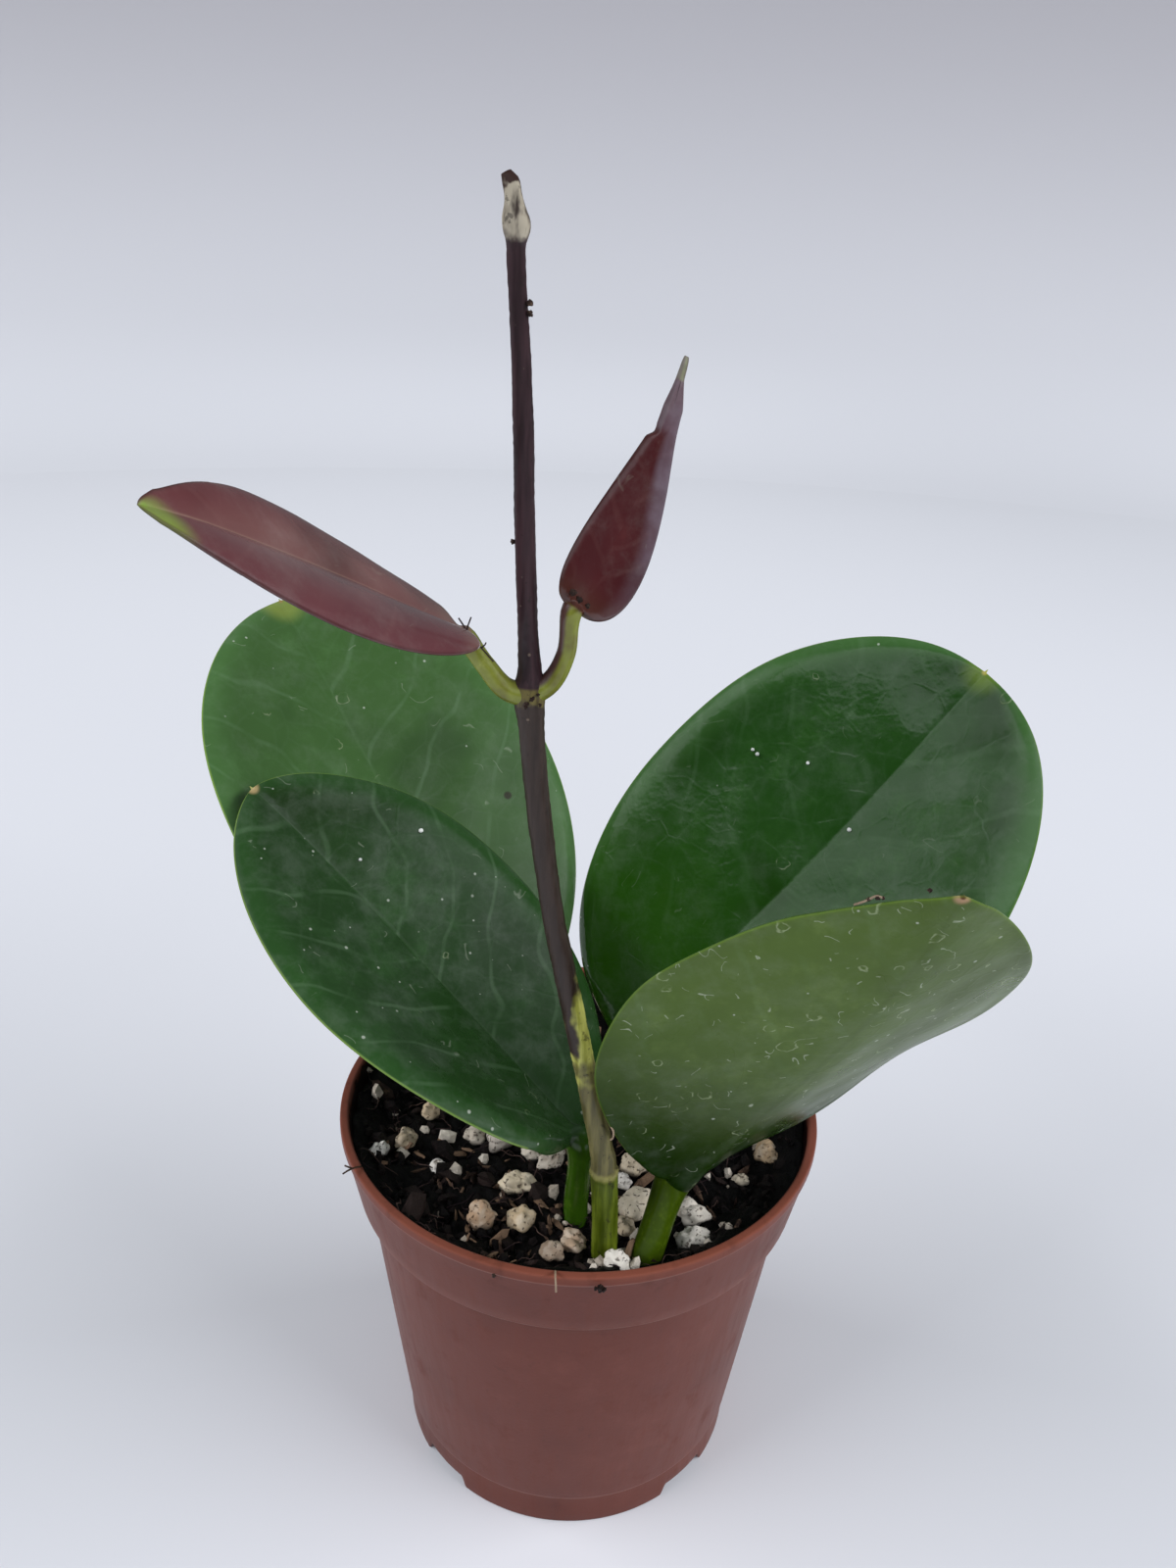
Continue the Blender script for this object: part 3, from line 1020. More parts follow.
def leaf_line(leaf):
    """The line that a leaf's rings stand on, up its stalk and then along its midrib: each point's share of
    the blade's length, which is below 0 on the stalk, its place, and its directions across and up."""
    end = 1 + leaf["drip"] / leaf["length"]
    blade = end * (1 - np.cos(np.pi * np.arange(BLADE_ROWS + 1) / BLADE_ROWS)) / 2
    blade[-1] = end * (1 - 1e-6)
    centre, along, across, up = midrib(leaf, blade)
    first = np.array(leaf["base"], float)
    places = [*leaf["stalk"], leaf["base"], first + along[0] * STALK_RUN_ON]
    stalk, ways, _ = spine([(*place, leaf["stalk_radius"]) for place in places], STALK_SPACING)
    last = int(np.argmin(np.linalg.norm(stalk - first * MM, axis=1)))
    stalk, ways = stalk[:last] / MM, ways[:last]
    stalk_across = across[0] - (ways @ across[0])[:, None] * ways
    stalk_across /= np.linalg.norm(stalk_across, axis=1, keepdims=True)
    travelled = np.cumsum(np.linalg.norm(np.diff(stalk, axis=0, append=first[None]), axis=1))
    share = np.concatenate([-(travelled[-1] - travelled + STALK_SPACING) / leaf["length"], blade])
    across = np.concatenate([stalk_across, across])
    up = np.concatenate([np.cross(stalk_across, ways), up])
    return share, np.concatenate([stalk, centre]), across, up


def leaf_columns():
    """How a ring runs round the blade: each point's share v of the way from the midrib to the margin, below
    0 on the left half, and its side, which is 1 on the upper side, -1 on the lower one and 0 on a margin."""
    count = 2 * HALF_COLUMNS + 1
    even = np.linspace(-1, 1, count)
    spaced = np.sin(np.pi / 2 * np.sign(even) * (0.45 * np.abs(even) + 0.55 * np.abs(even) ** 2))
    side = np.concatenate([np.ones(count), -np.ones(count - 2)])
    side[[0, count - 1]] = 0
    return np.concatenate([spaced, spaced[-2:0:-1]]), side


def rod_radius(leaf, share, centre):
    """The radius of the stalk, and of the rib that it runs on as under the midrib: flared where it leaves
    the stem, a little swollen where the blade starts, and thinner from there to the tip."""
    radius = leaf["stalk_radius"]
    flare_size, flare_reach = leaf["flare"]
    from_stem = np.linalg.norm(centre - centre[0], axis=1)
    flare = 1 + flare_size * np.exp(-from_stem / (flare_reach * radius))
    flare += 0.22 * np.exp(-((share * leaf["length"] / (1.5 * radius)) ** 2))
    thinning = RIB_SHARE + (1 - RIB_SHARE) * (1 - smoothstep(0, 0.3, share))
    rod = radius * flare * np.where(share < 0, 1, thinning)
    return rod * np.where(share > 0, (1 - np.clip(share, 0, 0.999)) ** 0.35, 1)


def half_thickness(leaf, share, v, width, reach, rod):
    """How far the skin lies above and below the middle surface: half the blade's thickness, (1 - v^4)^0.5 of
    its most, merged with the round stalk, which sinks into the blade above and stays as the rib below."""
    end = 1 + leaf["drip"] / leaf["length"]
    thin = leaf["thickness"] / 2 * np.sqrt(np.clip(1 - v**4, 0, 1)) * smoothstep(0, 0.02, share)[:, None]
    thin = thin * np.sqrt(np.clip(end - share, 0, 1) / end * 6).clip(0, 1)[:, None]
    thin = np.minimum(thin, 0.6 * width)
    below = np.sqrt(np.clip(rod[:, None] ** 2 - reach**2, 0, None))
    above = below * (1 - smoothstep(0, 0.05, share))[:, None]
    return (thin**4 + above**4) ** 0.25, (thin**4 + below**4) ** 0.25


def moulding(leaf, share, v, width, reach, seed):
    """The relief of the blade: low ripples, a quilting that is a cosine across the lateral veins, and the
    groove along the midrib."""
    lie = np.stack([share[:, None] * leaf["length"] + 0 * v, v * width, 0 * width], -1)
    strength = smoothstep(0.02, 0.12, share)[:, None] * np.clip(width / 4, 0, 1) * leaf["calm"]
    wave = WAVE_HEIGHT * (leaf["width"] / USUAL_WIDTH) ** 1.5 * ripple(lie, leaf["width"] * 0.55, seed)
    wave = wave * strength * (0.3 + v**2)
    spacing = VEIN_SPACING * leaf["length"] / USUAL_LENGTH
    phase = share[:, None] * leaf["length"] - VEIN_LEAN * reach - VEIN_CURVE * reach**2
    phase = phase + spacing / 2 * (v < 0)
    quilt = QUILT_HEIGHT * leaf["width"] / USUAL_WIDTH * np.cos(2 * np.pi * phase / spacing)
    quilt = quilt * strength * (1 - v**2) * smoothstep(0.5, 3, reach)
    groove = leaf["groove"] * leaf["thickness"] * np.exp(-((reach / GROOVE_WIDTH) ** 2)) * strength
    return wave, quilt, groove


def make_leaf(name, material, seed):
    """A leaf is rings round its stalk and then its midrib. Round the stalk they are circles. In the blade, a
    ring goes across the upper side and back along the lower one, either side of a middle surface that is
    two half sections."""
    leaf = LEAVES[name]
    share, centre, across, up = leaf_line(leaf)
    v, side = leaf_columns()
    rod = rod_radius(leaf, share, centre)
    slopes = (
        (-1, leaf.get("fold_left", leaf["fold"]), leaf["curl"]),
        (1, leaf["fold"], leaf.get("curl_right", leaf["curl"])),
    )
    halves = []
    for way, fold, curl in slopes:
        blade = np.where(share > 0, half_width(leaf, np.maximum(share, 0), way), 0)
        wide = (blade**3 + (rod * (share < 0.4)) ** 3) ** (1 / 3)
        halves.append((wide[:, None] + 0 * v, *half_section(leaf, share, wide, np.abs(v), fold, curl)))
    width, out, rise, slope = (np.where(v < 0, *pair) for pair in zip(*halves))
    reach = np.abs(v) * width
    way = np.sign(v)
    middle = centre[:, None] + across[:, None] * (way * out)[..., None] + up[:, None] * rise[..., None]
    skin = up[:, None] * np.cos(slope)[..., None] - across[:, None] * (way * np.sin(slope))[..., None]
    above, below = half_thickness(leaf, share, v, width, reach, rod)
    wave, quilt, groove = moulding(leaf, share, v, width, reach, seed)
    lift = wave + np.where(side > 0, quilt - groove + above, np.where(side < 0, 0.5 * quilt - below, 0))
    points, faces = capped((middle + skin * lift[..., None]) * MM + POT_AXIS)
    margin = width - reach + 4 * (1 - smoothstep(0, 0.06, share))[:, None]
    marks = {
        "along": np.append(np.repeat(share, len(v)), share[[0, -1]]),
        "across": np.append(np.tile(v, len(share)), [0, 0]),
        "rib": np.append(reach.ravel(), [0, 0]),
        "edge": np.append(margin.ravel(), [4, 0]),
        "upper": np.append(np.tile(0.5 + side / 2, len(share)), [0.5, 0.5]),
    }
    return piece(name, points, faces, material, [name], marks)


# Veins: lateral veins leave the midrib at an even spacing, lean towards the tip and curve more and more on
# the way out. A fine net of Voronoi edges fills the fields between them.
veins, given, gives = group_of(
    "leaf_veins",
    {"Where": "Vector", **dict.fromkeys(("Along", "Rib", "Across", "Spacing", "Width"), "Float")},
    {"Veins": "Float", "Net": "Float"},
)
wander = times(veins, work(veins, "SUBTRACT", noise(veins, given["Where"], 60.0, 2.0), 0.5), 14.0)
leaned = work(veins, "SUBTRACT", given["Along"], times(veins, given["Rib"], VEIN_LEAN))
squared = times(veins, given["Rib"], given["Rib"])
curved = work(veins, "SUBTRACT", leaned, times(veins, squared, VEIN_CURVE))
other_half = times(veins, work(veins, "LESS_THAN", given["Across"], 0.0), 0.5)
spaced = work(veins, "DIVIDE", work(veins, "ADD", curved, wander), given["Spacing"])
number_of = work(veins, "ADD", work(veins, "ADD", spaced, other_half), 0.5)
off_vein = times(veins, work(veins, "PINGPONG", number_of, 0.5), given["Spacing"])
line = spread(veins, off_vein, times(veins, given["Width"], 0.2), given["Width"], 1.0, 0.0)
broken = spread(veins, noise(veins, given["Where"], 210.0, 2.0), 0.3, 0.6)
veins.links.new(times(veins, line, broken), gives["Veins"])


def shaken(tree, where, per_metre, reach):
    """Coordinates pushed about by a coloured noise, up to reach metres along each axis."""
    push = add(tree, "TexNoise", 1, {"Vector": where, "Scale": per_metre, "Detail": 2.0})
    push = add(tree, "VectorMath", 0, {0: push, 1: (reach, reach, reach)}, operation="MULTIPLY")
    return add(tree, "VectorMath", 0, {0: where, 1: push}, operation="ADD")


net_cells = {"Vector": shaken(veins, given["Where"], 260.0, 1.4 * MM), "Scale": 270.0}
net_line = add(veins, "TexVoronoi", "Distance", net_cells, feature="DISTANCE_TO_EDGE")
veins.links.new(spread(veins, net_line, 0.07, 0.0), gives["Net"])

# Scratches: the contour lines of one noise, kept only where a second noise is high, give short pale arcs.
scratches, given, gives = group_of(
    "scratches",
    {"Where": "Vector", "Per Metre": "Float", "Line": "Float", "Share": "Float"},
    {"Mask": "Float"},
)
hills = noise(scratches, given["Where"], given["Per Metre"], 1.5, 0.5, 0.6)
contour = work(scratches, "ABSOLUTE", work(scratches, "SUBTRACT", hills, 0.5))
line = work(scratches, "SUBTRACT", 1.0, work(scratches, "DIVIDE", contour, given["Line"]), clamp=True)
finer = noise(scratches, given["Where"], times(scratches, given["Per Metre"], 1.7), 1.0)
kept = work(scratches, "GREATER_THAN", finer, given["Share"])
scratches.links.new(times(scratches, line, kept), gives["Mask"])


# Dried drops: in a share of the Voronoi cells a drop of water dried and left a pale, broken ring, clearest on
# its lower side, where the water hung longest.
drop_rings, given, gives = group_of(
    "drop_rings",
    {"Where": "Vector", "Per Metre": "Float", "Share": "Float", "Line": "Float"},
    {"Mask": "Float"},
)
uneven = shaken(drop_rings, given["Where"], 1100.0, 0.8 * MM)
cell = add(drop_rings, "TexVoronoi", 0, {"Vector": uneven, "Scale": given["Per Metre"]}).node.outputs
chance = add(drop_rings, "SeparateColor", 0, {0: cell["Color"]})
girth = add(drop_rings, "SeparateColor", 1, {0: cell["Color"]})
radius = work(drop_rings, "ADD", times(drop_rings, girth, 0.26), 0.08)
off_ring = work(drop_rings, "ABSOLUTE", work(drop_rings, "SUBTRACT", cell["Distance"], radius))
ring = work(drop_rings, "SUBTRACT", 1.0, work(drop_rings, "DIVIDE", off_ring, given["Line"]), clamp=True)
shown = times(drop_rings, ring, work(drop_rings, "LESS_THAN", chance, given["Share"]))
open_arc = spread(drop_rings, noise(drop_rings, given["Where"], 900.0, 1.0), 0.38, 0.56)
from_middle = add(drop_rings, "VectorMath", 0, {0: given["Where"], 1: cell["Position"]}, operation="SUBTRACT")
lower = spread(drop_rings, part_of(drop_rings, from_middle, "Z"), 0.1 * MM, -0.25 * MM, 0.12, 1.0)
drop_rings.links.new(times(drop_rings, shown, times(drop_rings, open_arc, lower)), gives["Mask"])


def blade_colour(tree, look, where, on, vein, net):
    """The blade's two sides: clouds of its greens, darker or paler at the margin, with paler veins and net,
    and a paler underside."""
    middle = spread(tree, on["rib"], look["midrib_width"], 0.05)
    top = clouded(tree, where, 60.0, look["deep"], look["mid"], look["light"])
    if "left" in look:
        top = laid(tree, top, look["left"], spread(tree, on["across"], 0.06, -0.06, 0.0, look["left_share"]))
    top = laid(tree, top, look["band"], spread(tree, on["edge"], 5.0, 0.4, 0.0, look["band_share"]))
    top = laid(tree, top, look["vein"], net, 0.018)
    top = laid(tree, top, look["vein"], vein, look["vein_share"])
    top = laid(tree, top, look["midrib"], middle, look["midrib_share"])
    under = clouded(tree, where, 75.0, look["under_deep"], look["under"], look["under_light"])
    under = laid(tree, under, look["vein"], vein, 0.05)
    under = laid(tree, under, look["under_deep"], middle, 0.35)
    return mixed(tree, spread(tree, on["upper"], 0.35, 0.65), under, top)


def ends_and_rim(tree, look, where, on, skin, length):
    """The skin with the blade's foot, the stalk, the tip and its dry point, and the thin margin line."""
    foot = spread(tree, on["along"], look["foot_reach"], -0.01)
    skin = laid(tree, skin, look["foot"], foot, look["foot_share"])
    stalk = clouded(tree, where, 260.0, look["stalk_deep"], look["stalk"], look["stalk_light"])
    if "stalk_side" in look:
        stalk = laid(tree, stalk, look["stalk_side"], spread(tree, on["across"], -0.5, -0.85))
    skin = mixed(tree, spread(tree, on["along"], 0.012, -0.012), skin, stalk)
    short_of = work(tree, "SUBTRACT", length * look["tip_at"], on["along_mm"])
    squares = work(tree, "ADD", times(tree, short_of, short_of), times(tree, on["rib"], on["rib"]))
    from_tip = work(tree, "SQRT", squares)
    leaned = work(tree, "SUBTRACT", from_tip, times(tree, on["across"], look["tip_lean"]))
    tip = spread(tree, leaned, look["tip_reach"], look["tip_core"] * look["tip_reach"])
    skin = laid(tree, skin, look["tip"], tip, look["tip_share"])
    skin = laid(tree, skin, look["point"], spread(tree, from_tip, look["point_reach"], 0.15))
    rim = spread(tree, on["edge"], look["rim_width"], 0.05)
    return laid(tree, skin, look["rim"], rim, look["rim_share"])


def lying_on(tree, look, where, on, skin):
    """The skin with what lies on it: a bloom, dust, dried drops, mineral specks, scratches and dirt. Returns
    the masks of the drops and the specks too."""
    along, across = on["along"], on["across"]
    if "bloom" in look:
        low, high, share = look["bloom"]
        leaning = work(tree, "ADD", across, spread(tree, along, 0.25, 0.8, 0.0, 0.55))
        strip = work(tree, "MAXIMUM", spread(tree, leaning, low, high), spread(tree, along, 0.76, 0.82))
        strip = times(tree, strip, spread(tree, along, 0.1, 0.45, 0.25, 1.0))
        patchy = spread(tree, noise(tree, where, 300.0, 4.0), 0.35, 0.6, 0.55 * share, share)
        skin = laid(tree, skin, "8d8593", strip, patchy)
    blade = spread(tree, along, 0.0, 0.05)
    dust = spread(tree, noise(tree, where, 230.0, 5.0, 0.7), 0.42, 0.75, 0.0, look["dust"])
    skin = laid(tree, skin, "b9c2bb", dust, blade)
    drops = {"Per_Metre": look["drop_scale"], "Share": look["drops"], "Line": look["drop_line"]}
    rings = times(tree, placed(tree, drop_rings, "Mask", Where=where, **drops), blade)
    skin = laid(tree, skin, "b4c19a", rings, look["drop_share"])
    grit = times(tree, dotted(tree, where, 340.0, look["specks"], 0.1), 0.75)
    fine_grit = times(tree, dotted(tree, where, 900.0, look["fine_specks"], 0.16), 0.4)
    dots = times(tree, work(tree, "MAXIMUM", grit, fine_grit), blade)
    skin = laid(tree, skin, "dfe6da", dots)
    arcs = {"Per_Metre": look["scratch_scale"], "Line": 0.01, "Share": look["scratch_from"]}
    scratch = times(tree, placed(tree, scratches, "Mask", Where=where, **arcs), blade)
    skin = laid(tree, skin, "cfd8c4", scratch, look["scratch"])
    skin = laid(tree, skin, "241a12", dotted(tree, where, 260.0, look["dirt"], 0.12), 0.85)
    return skin, rings, dots


def leaf_skin(name, look, length, offset):
    """A leaf's waxy skin: the colours of its sides, its ends and its rim, what lies on it, and a fine relief
    with dimples. offset shifts the patterns, so that no two leaves share them."""
    material, tree, shader, where = finish(name, IOR=1.5, Specular_IOR_Level=look["shine"])
    where = add(tree, "Mapping", 0, {"Vector": where, "Location": (offset, 0.0, 0.0)})
    on = {key: mark(tree, key) for key in ("along", "across", "rib", "edge", "upper")}
    on["along_mm"] = times(tree, on["along"], length)
    lie = {"Where": where, "Along": on["along_mm"], "Rib": on["rib"], "Across": on["across"]}
    run = {"Spacing": VEIN_SPACING * length / USUAL_LENGTH, "Width": look["vein_width"]}
    vein, net = (placed(tree, veins, output, **lie, **run) for output in ("Veins", "Net"))
    skin = blade_colour(tree, look, where, on, vein, net)
    skin = ends_and_rim(tree, look, where, on, skin, length)
    skin, rings, dots = lying_on(tree, look, where, on, skin)
    cloud = noise(tree, where, 120.0, 3.0)
    rough = spread(tree, cloud, 0.3, 0.7, look["gloss"], look["gloss"] + 0.08)
    dimples = times(tree, noise(tree, where, 620.0, 2.0, 0.6), spread(tree, cloud, 0.4, 0.6))
    relief = bump(tree, noise(tree, where, 1500.0, 2.0), 0.02 * MM, 0.5)
    layers = (
        (dimples, 0.03, look["dimples"]),
        (rings, 0.03, 0.8),
        (net, 0.012, 0.5),
        (vein, -0.01, 0.4),
        (dots, 0.05, 1.0),
    )
    for height, depth, strength in layers:
        relief = bump(tree, height, depth * MM, strength, relief)
    feed(tree, shader, Base_Color=skin, Roughness=rough, Normal=relief)
    return material


# The looks: colours as six hex digits, shares from 0 to 1, reaches and widths in millimetres, or as a share
# of the blade's length for the foot's reach. gloss is the lowest roughness. Scales are cells to the metre.
USUAL_LOOK = {
    "shine": 0.5, "gloss": 0.17, "dimples": 0.6, "vein_width": 0.8, "vein_share": 0.055,
    "midrib_width": 0.5, "midrib_share": 0.08, "band_share": 0.35, "rim_width": 0.32, "rim_share": 0.6,
    "foot_reach": 0.16, "foot_share": 0.55, "point_reach": 0.5, "tip_at": 1.0, "tip_lean": 0.0,
    "tip_reach": 1.0, "tip_core": 0.4, "tip_share": 0.7, "dust": 0.08, "dirt": 0.02, "specks": 0.1,
    "fine_specks": 0.1, "drops": 0.06, "drop_scale": 420.0, "drop_line": 0.045, "drop_share": 0.25,
    "scratch": 0.16, "scratch_scale": 230.0, "scratch_from": 0.66,
}
MATURE = {
    **USUAL_LOOK, "deep": "183610", "mid": "1c4014", "light": "284f20", "band": "2f5a27",
    "under_deep": "445822", "under": "50662e", "under_light": "62783e",
    "stalk_deep": "253f08", "stalk": "2f4f0c", "stalk_light": "4c6c1c", "foot": "1a3604",
    "vein": "7fa07c", "midrib": "5f8058", "tip": "c2a878", "point": "a37d55", "rim": "8fb04a",
    "tip_reach": 0.9, "rim_width": 0.24,
}
YOUNG = {
    **USUAL_LOOK, "deep": "513635", "mid": "6e4b49", "light": "806260", "band": "5c2a30",
    "under_deep": "47262b", "under": "5a3437", "under_light": "704a4c",
    "stalk_deep": "5d5628", "stalk": "787f31", "stalk_light": "959c4a", "foot": "80655c",
    "vein": "94706a", "midrib": "9a8270", "tip": "8aa046", "point": "8aa046", "rim": "3a1f1e",
    "specks": 0.01, "fine_specks": 0.01, "dirt": 0.01, "dust": 0.05, "scratch": 0.05, "drops": 0.0,
    "vein_width": 0.45, "vein_share": 0.04, "midrib_width": 0.34, "midrib_share": 0.4, "band_share": 0.5,
    "foot_share": 0.8, "point_reach": 0.3,
}
LOOKS = {
    "leaf_front_left": {
        **MATURE, "deep": "193013", "mid": "1e3a18", "light": "2a4a24", "foot": "2c4a24", "point": "b8a478",
        "shine": 0.4, "dimples": 1.1, "dust": 0.065, "specks": 0.06, "fine_specks": 0.16,
        "vein_width": 0.5, "vein_share": 0.11, "point_reach": 0.35, "rim_share": 0.45,
    },
    "leaf_front_right": {
        **MATURE, "stalk_deep": "2a3c04", "stalk": "364907", "stalk_light": "4e6412", "foot": "122b00",
        "tip": "c0977a", "point": "5a3422", "rim": "5f7a2a", "shine": 0.12, "gloss": 0.26, "dust": 0.06,
        "scratch": 0.45, "scratch_from": 0.6, "scratch_scale": 330.0, "specks": 0.03, "dirt": 0.04,
        "drops": 0.6, "drop_share": 0.45, "drop_scale": 330.0, "drop_line": 0.03,
        "foot_reach": 0.62, "foot_share": 1.0, "tip_reach": 1.0, "point_reach": 0.35, "rim_share": 0.45,
    },
    "leaf_rear_left": {
        **MATURE, "deep": "304c26", "mid": "3b5c2e", "light": "486c3c", "band": "507c44", "vein": "86a886",
        "tip": "8f9a44", "point": "8a7440", "dust": 0.05, "specks": 0.03, "fine_specks": 0.06,
        "vein_width": 0.6, "vein_share": 0.09, "tip_reach": 4.0, "tip_share": 0.5,
    },
    "leaf_rear_right": {
        **MATURE, "deep": "1a3810", "mid": "224818", "light": "2e5622", "band": "4a743e", "foot": "224c00",
        "tip": "6c8828", "point": "a9a24c", "gloss": 0.12, "dimples": 2.4, "dust": 0.045, "specks": 0.004,
        "fine_specks": 0.02, "scratch": 0.06, "drops": 0.03, "band_share": 0.5, "rim_width": 0.3,
        "rim_share": 0.2, "foot_reach": 0.6, "foot_share": 0.9, "tip_reach": 3.2, "tip_core": 0.2,
        "tip_share": 0.62,
    },
    "young_leaf_left": {
        **YOUNG, "left": "735a61", "left_share": 0.3, "band": "531c25", "band_share": 0.62,
        "midrib_share": 0.55, "tip": "78903c", "point": "78903c",
        "tip_lean": -1.8, "tip_reach": 2.7, "tip_core": 0.1, "tip_share": 0.8,
    },
    "young_leaf_right": {
        **YOUNG, "deep": "3a171a", "mid": "4a2022", "light": "5a2c2c", "band": "3c171a", "midrib_share": 0.0,
        "foot": "4a2c22", "stalk_side": "4a3430", "bloom": (0.5, 0.95, 0.42), "tip": "767c48",
        "point": "6a7040", "tip_at": 1.05, "tip_reach": 1.3, "tip_core": 0.75, "tip_share": 1.0,
    },
}

for number, (name, look) in enumerate(LOOKS.items()):
    skin_of = leaf_skin(name, look, LEAVES[name]["length"], 0.1 * number)
    make_leaf(name, skin_of, 40 + number)


# Stray bits on the plant: hair roots caught on a young leaf's stalk and on the pot's rim, crumbs of soil on
# the front leaf's edge, under the right young leaf and on the rim, and a few dried drops of milky sap.
CAUGHT_FIBRES = [
    [(-11.0, -19.5, 105.9), (-11.4, -19.7, 106.5), (-11.7, -19.8, 107.3), (-12.2, -19.8, 108.1)],
    [(-11.5, -19.7, 106.7), (-11.5, -19.8, 107.3), (-11.2, -19.8, 108.2)],
    [(-11.3, -19.5, 106.2), (-10.8, -19.6, 106.0), (-10.3, -19.6, 105.5), (-9.4, -19.7, 104.5)],
    [(-10.4, -19.6, 105.6), (-10.1, -19.7, 105.9), (-10.0, -19.7, 106.1)],
]
RIM_TWIGS = [
    [(-23.4, -12.8, 45.7), (-24.1, -13.5, 46.1), (-24.6, -14.0, 46.2), (-25.1, -14.4, 46.1)],
    [(-24.2, -13.6, 46.1), (-24.6, -13.7, 46.4), (-25.0, -13.7, 46.6)],
    [(-23.3, 12.6, 45.4), (-24.2, 13.4, 46.2), (-24.9, 13.9, 46.4)],
]
PALE_FIBRES = [
    [(-2.7, -26.6, 45.6), (-2.7, -27.8, 46.1), (-2.65, -28.2, 45.5), (-2.6, -28.2, 44.6)],
    [(2.1, -21.2, 58.9), (2.5, -21.4, 58.2), (2.5, -21.4, 57.4), (2.3, -21.2, 57.0)],
    [(19.4, -31.8, 89.5), (20.3, -32.1, 90.1), (20.9, -32.3, 90.6), (21.4, -32.4, 90.5)],
]
STRAY_CRUMBS = [
    (20.4, -32.1, 90.2, 0.3), (21.0, -32.3, 90.5, 0.35), (21.4, -32.4, 90.5, 0.25), (24.5, -33.6, 91.9, 0.35),
    (16.9, -27.9, 78.1, 0.35), (17.3, -27.9, 77.9, 0.2), (24.0, -18.8, 62.6, 0.4), (25.2, -16.4, 60.3, 0.45),
    (-3.1, -19.5, 110.4, 0.5), (-2.6, -19.6, 109.9, 0.45), (-1.9, -19.6, 109.4, 0.4), (1.6, -28.1, 45.1, 0.6),
    (2.0, -28.1, 44.9, 0.4), (1.2, -28.1, 45.0, 0.35), (1.6, -28.1, 44.6, 0.3), (-8.6, -26.9, 45.2, 0.4),
    (-7.0, -17.9, 131.6, 0.45), (-6.95, -17.9, 130.9, 0.4), (-8.0, -18.0, 114.0, 0.35),
    (-6.6, -19.8, 101.0, 0.35), (-6.2, -19.8, 101.4, 0.4), (-6.7, -19.8, 100.7, 0.3),
    (-5.7, -19.8, 101.8, 0.25), (-5.5, -19.8, 100.9, 0.25),
]
SAP_DROPS = [
    (19.0, 15.0, 83.6, 0.4), (19.5, 14.6, 83.2, 0.45), (25.1, 12.8, 83.0, 0.4), (29.8, 8.7, 76.6, 0.5),
    (-18.4, 4.4, 77.2, 0.5), (-24.4, 0.3, 75.6, 0.35),
]
STRAND_SIDES = 6
BEAD_RINGS = 12
BEAD_SIDES = 16


def joined(parts):
    """Several pairs of points and faces as one pair."""
    starts = np.cumsum([0] + [len(points) for points, _ in parts])
    faces = [group + start for start, (_, groups) in zip(starts, parts) for group in groups]
    return np.concatenate([points for points, _ in parts]), faces


def strands(name, lines, radius, material):
    """Single fibres: each is a thin tube along a smooth line through its places in millimetres."""
    tubes = []
    for line in lines:
        places, ways, radii = spine([(*place, radius) for place in line], 0.15)
        tubes.append(capped(stem_tube(places, ways, radii, STRAND_SIDES, (0.3, 0.9, 0.3))[0] + POT_AXIS))
    points, faces = joined(tubes)
    return piece(name, points, faces, material, marks={"tone": np.full(len(points), 0.5)})


def beads(name, places, rough, seed, material):
    """Small lumps at known places in millimetres, the last number being the size across: balls whose reach
    varies by ripples of the given roughness."""
    tilt = np.pi * (np.arange(BEAD_RINGS) + 0.5) / BEAD_RINGS
    ways = lathed(np.sin(tilt), -np.cos(tilt)[:, None], full_turn(BEAD_SIDES))
    balls = []
    for number, (x, y, z, size) in enumerate(places):
        reach = 1 + rough * ripple(ways, 1.1, seed + number)
        balls.append(capped(ways * reach[..., None] * size * MM / 2 + np.array([x, y, z]) * MM + POT_AXIS))
    points, faces = joined(balls)
    return piece(name, points, faces, material, marks={"tone": np.full(len(points), 0.3)})


strands("caught_fibres", CAUGHT_FIBRES, 0.065, fibre_mix)
strands("rim_twigs", RIM_TWIGS, 0.1, bark_mix)
strands("pale_fibres", PALE_FIBRES, 0.1, soil_mix("pale_fibre", "6d5a48", "8f7c69", "bfab93"))
beads("stray_crumbs", STRAY_CRUMBS, 0.35, 800, bark_mix)
beads("sap_drops", SAP_DROPS, 0.06, 830, soil_mix("dried_sap", "c4cac6", "dde2de", "f2f5f2"))


# The studio: a white table that curves up into a wall all round, inside a tent that is dim at the back and
# overhead, bright in front, behind the camera, and dark low down there. The wall is there for the
# camera only: the tent's light passes through it. Two long lamps light the pot from the left and the right.
HOLE_RADIUS = 0.05
TABLE_RADIUS = 0.75
COVE_RADIUS = 0.6
WALL_TOP = 1.9
COVE_STEPS = 24
STUDIO_SIDES = 96


def turned_sheet(name, outline, material, middle=False):
    """A sheet that faces up and inwards: an outline of radius and height turned about the origin, with a
    point in its middle where it has no hole."""
    outline = np.array(outline, float)
    points = lathed(outline[:, 0], outline[:, 1:], full_turn(STUDIO_SIDES)).reshape(-1, 3)
    faces = ring_faces(len(outline), STUDIO_SIDES)[:, ::-1].tolist()
    if middle:
        faces += fan_faces(0, len(points), STUDIO_SIDES).tolist()
        points = np.concatenate([points, [[0, 0, 0]]])
    mesh = bpy.data.meshes.new(name)
    mesh.from_pydata(points.tolist(), [], faces)
    mesh.polygons.foreach_set("use_smooth", np.ones(len(mesh.polygons), bool))
    mesh.materials.append(material)
    sheet = bpy.data.objects.new(name, mesh)
    bpy.context.scene.collection.objects.link(sheet)
    return sheet


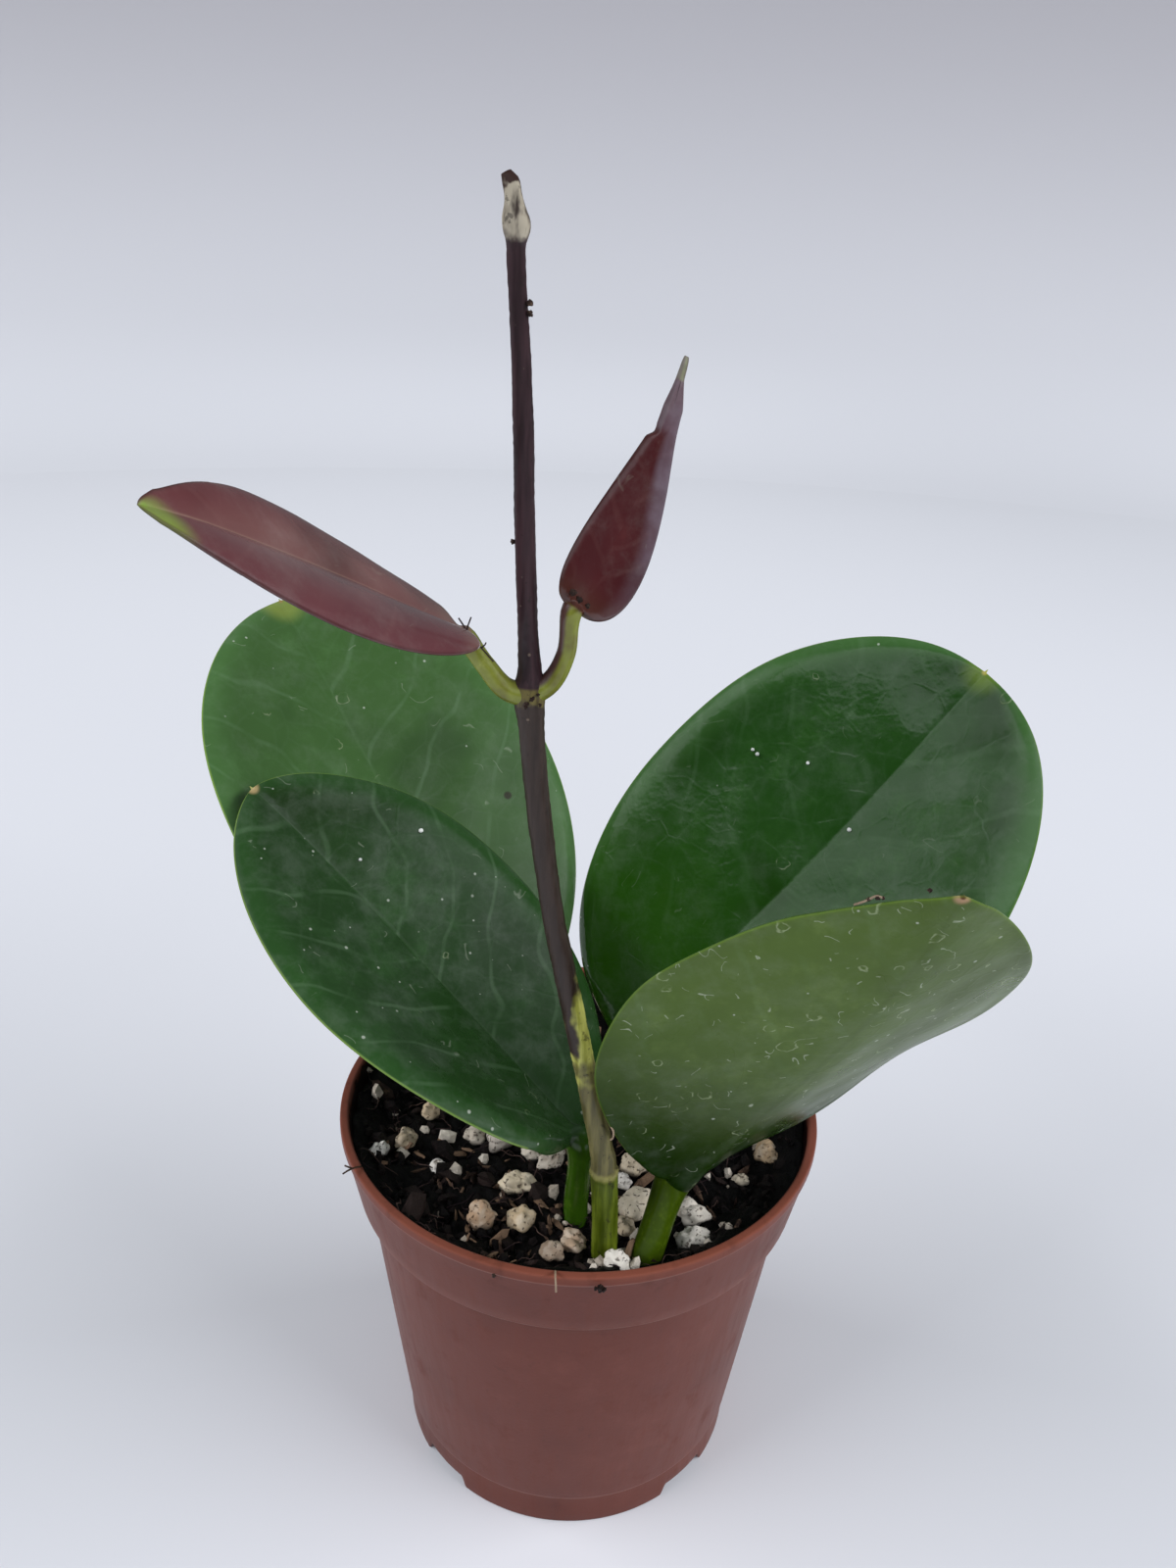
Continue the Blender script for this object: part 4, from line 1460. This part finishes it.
def table_paper():
    """White paper, a little brighter at the back and darker to the sides there, and a wall that darkens on
    its way up."""
    material, tree, shader, where = finish("table_paper", Roughness=0.8, Specular_IOR_Level=0.15)
    sideways, depth, height = (part_of(tree, where, axis) for axis in ("X", "Y", "Z"))
    paper = laid(tree, colour("dcdfe6"), "dee1e8", spread(tree, noise(tree, where, 3.0, 1.0), 0.3, 0.7))
    far = spread(tree, depth, 0.05, 0.45)
    paper = laid(tree, paper, "e3e6ed", far)
    to_right, to_left = spread(tree, sideways, 0.02, 0.4), spread(tree, sideways, -0.05, -0.5, 0.0, 0.8)
    aside = work(tree, "MAXIMUM", to_right, to_left)
    paper = laid(tree, paper, "c6c9d0", times(tree, aside, far), 0.5)
    wall = laid(tree, colour("d8dbe2"), "adadb4", spread(tree, height, -0.15, 0.5))
    paper = mixed(tree, spread(tree, height, -0.03, 0.09), paper, wall)
    feed(tree, shader, Base_Color=paper)
    return material


paper = table_paper()
bend = np.linspace(0, np.pi / 2, COVE_STEPS)
cove = np.stack([TABLE_RADIUS + COVE_RADIUS * np.sin(bend), COVE_RADIUS * (1 - np.cos(bend))], -1)
turned_sheet("table", [(HOLE_RADIUS, 0), (TABLE_RADIUS * 0.4, 0), (TABLE_RADIUS, 0)], paper, middle=True)
wall = turned_sheet("wall", [*cove.tolist(), (TABLE_RADIUS + COVE_RADIUS, WALL_TOP)], paper)
wall.visible_diffuse = False
wall.visible_glossy = False
wall.visible_transmission = False
wall.visible_shadow = False

world = bpy.data.worlds.new("tent")
world.use_nodes = True
tree = world.node_tree
tree.nodes.clear()
sky = add(tree, "TexCoord", "Generated")
height = part_of(tree, sky, "Z")
front = spread(tree, part_of(tree, sky, "Y"), 0.12, -0.2)
opening = times(tree, front, spread(tree, height, 0.3, 0.24))
tent = mixed(tree, front, (0.15, 0.16, 0.17, 1.0), (0.98, 1.01, 1.06, 1.0))
tent = mixed(tree, spread(tree, height, 0.6, 0.85), tent, (0.16, 0.17, 0.18, 1.0))
tent = mixed(tree, opening, tent, (0.01, 0.01, 0.01, 1.0))
surface = tree.nodes.new("ShaderNodeOutputWorld")
tree.links.new(add(tree, "Background", 0, {"Color": tent, "Strength": 1.0}), surface.inputs[0])
bpy.context.scene.world = world

LAMP_COLOUR = (1.0, 0.99, 1.0)
LAMPS = [
    ("left_lamp", (-1.6, -0.22, 1.1), (2.0, 0.3), 28.5),
    ("right_lamp", (1.5, -0.375, 0.94), (1.87, 0.375), 28.5),
]
for name, place, size, watts in LAMPS:
    lamp_light = bpy.data.lights.new(name, "AREA")
    lamp_light.shape = "RECTANGLE"
    lamp_light.size, lamp_light.size_y = size
    lamp_light.energy = watts
    lamp_light.color = LAMP_COLOUR
    lamp = bpy.data.objects.new(name, lamp_light)
    aim = Vector(place).to_track_quat("Z", "Y")
    lamp.matrix_world = Matrix.Translation(place) @ aim.to_matrix().to_4x4()
    lamp.visible_glossy = False
    bpy.context.scene.collection.objects.link(lamp)
bpy.context.scene.view_settings.view_transform = "Standard"

# The camera stands where the photograph was taken from, measured from the pot's axis: its place, its pitch
# down, its yaw to the left and its roll, with the lens for a 36 mm long side.
CAMERA_PLACE = np.array([-4.7, -111.7, 134.2]) * MM + POT_AXIS
CAMERA_PITCH = math.radians(23.66)
CAMERA_YAW = math.radians(-2.13)
CAMERA_ROLL = math.radians(2.42)
LENS = 27.06

view = bpy.data.cameras.new("camera")
view.lens = LENS
view.clip_start = 0.005
view.clip_end = 20
camera = bpy.data.objects.new("camera", view)
turn = Matrix.Rotation(CAMERA_YAW, 4, "Z") @ Matrix.Rotation(math.pi / 2 - CAMERA_PITCH, 4, "X")
turn = turn @ Matrix.Rotation(CAMERA_ROLL, 4, "Z")
camera.matrix_world = Matrix.Translation(CAMERA_PLACE.tolist()) @ turn
bpy.context.scene.collection.objects.link(camera)
bpy.context.scene.camera = camera
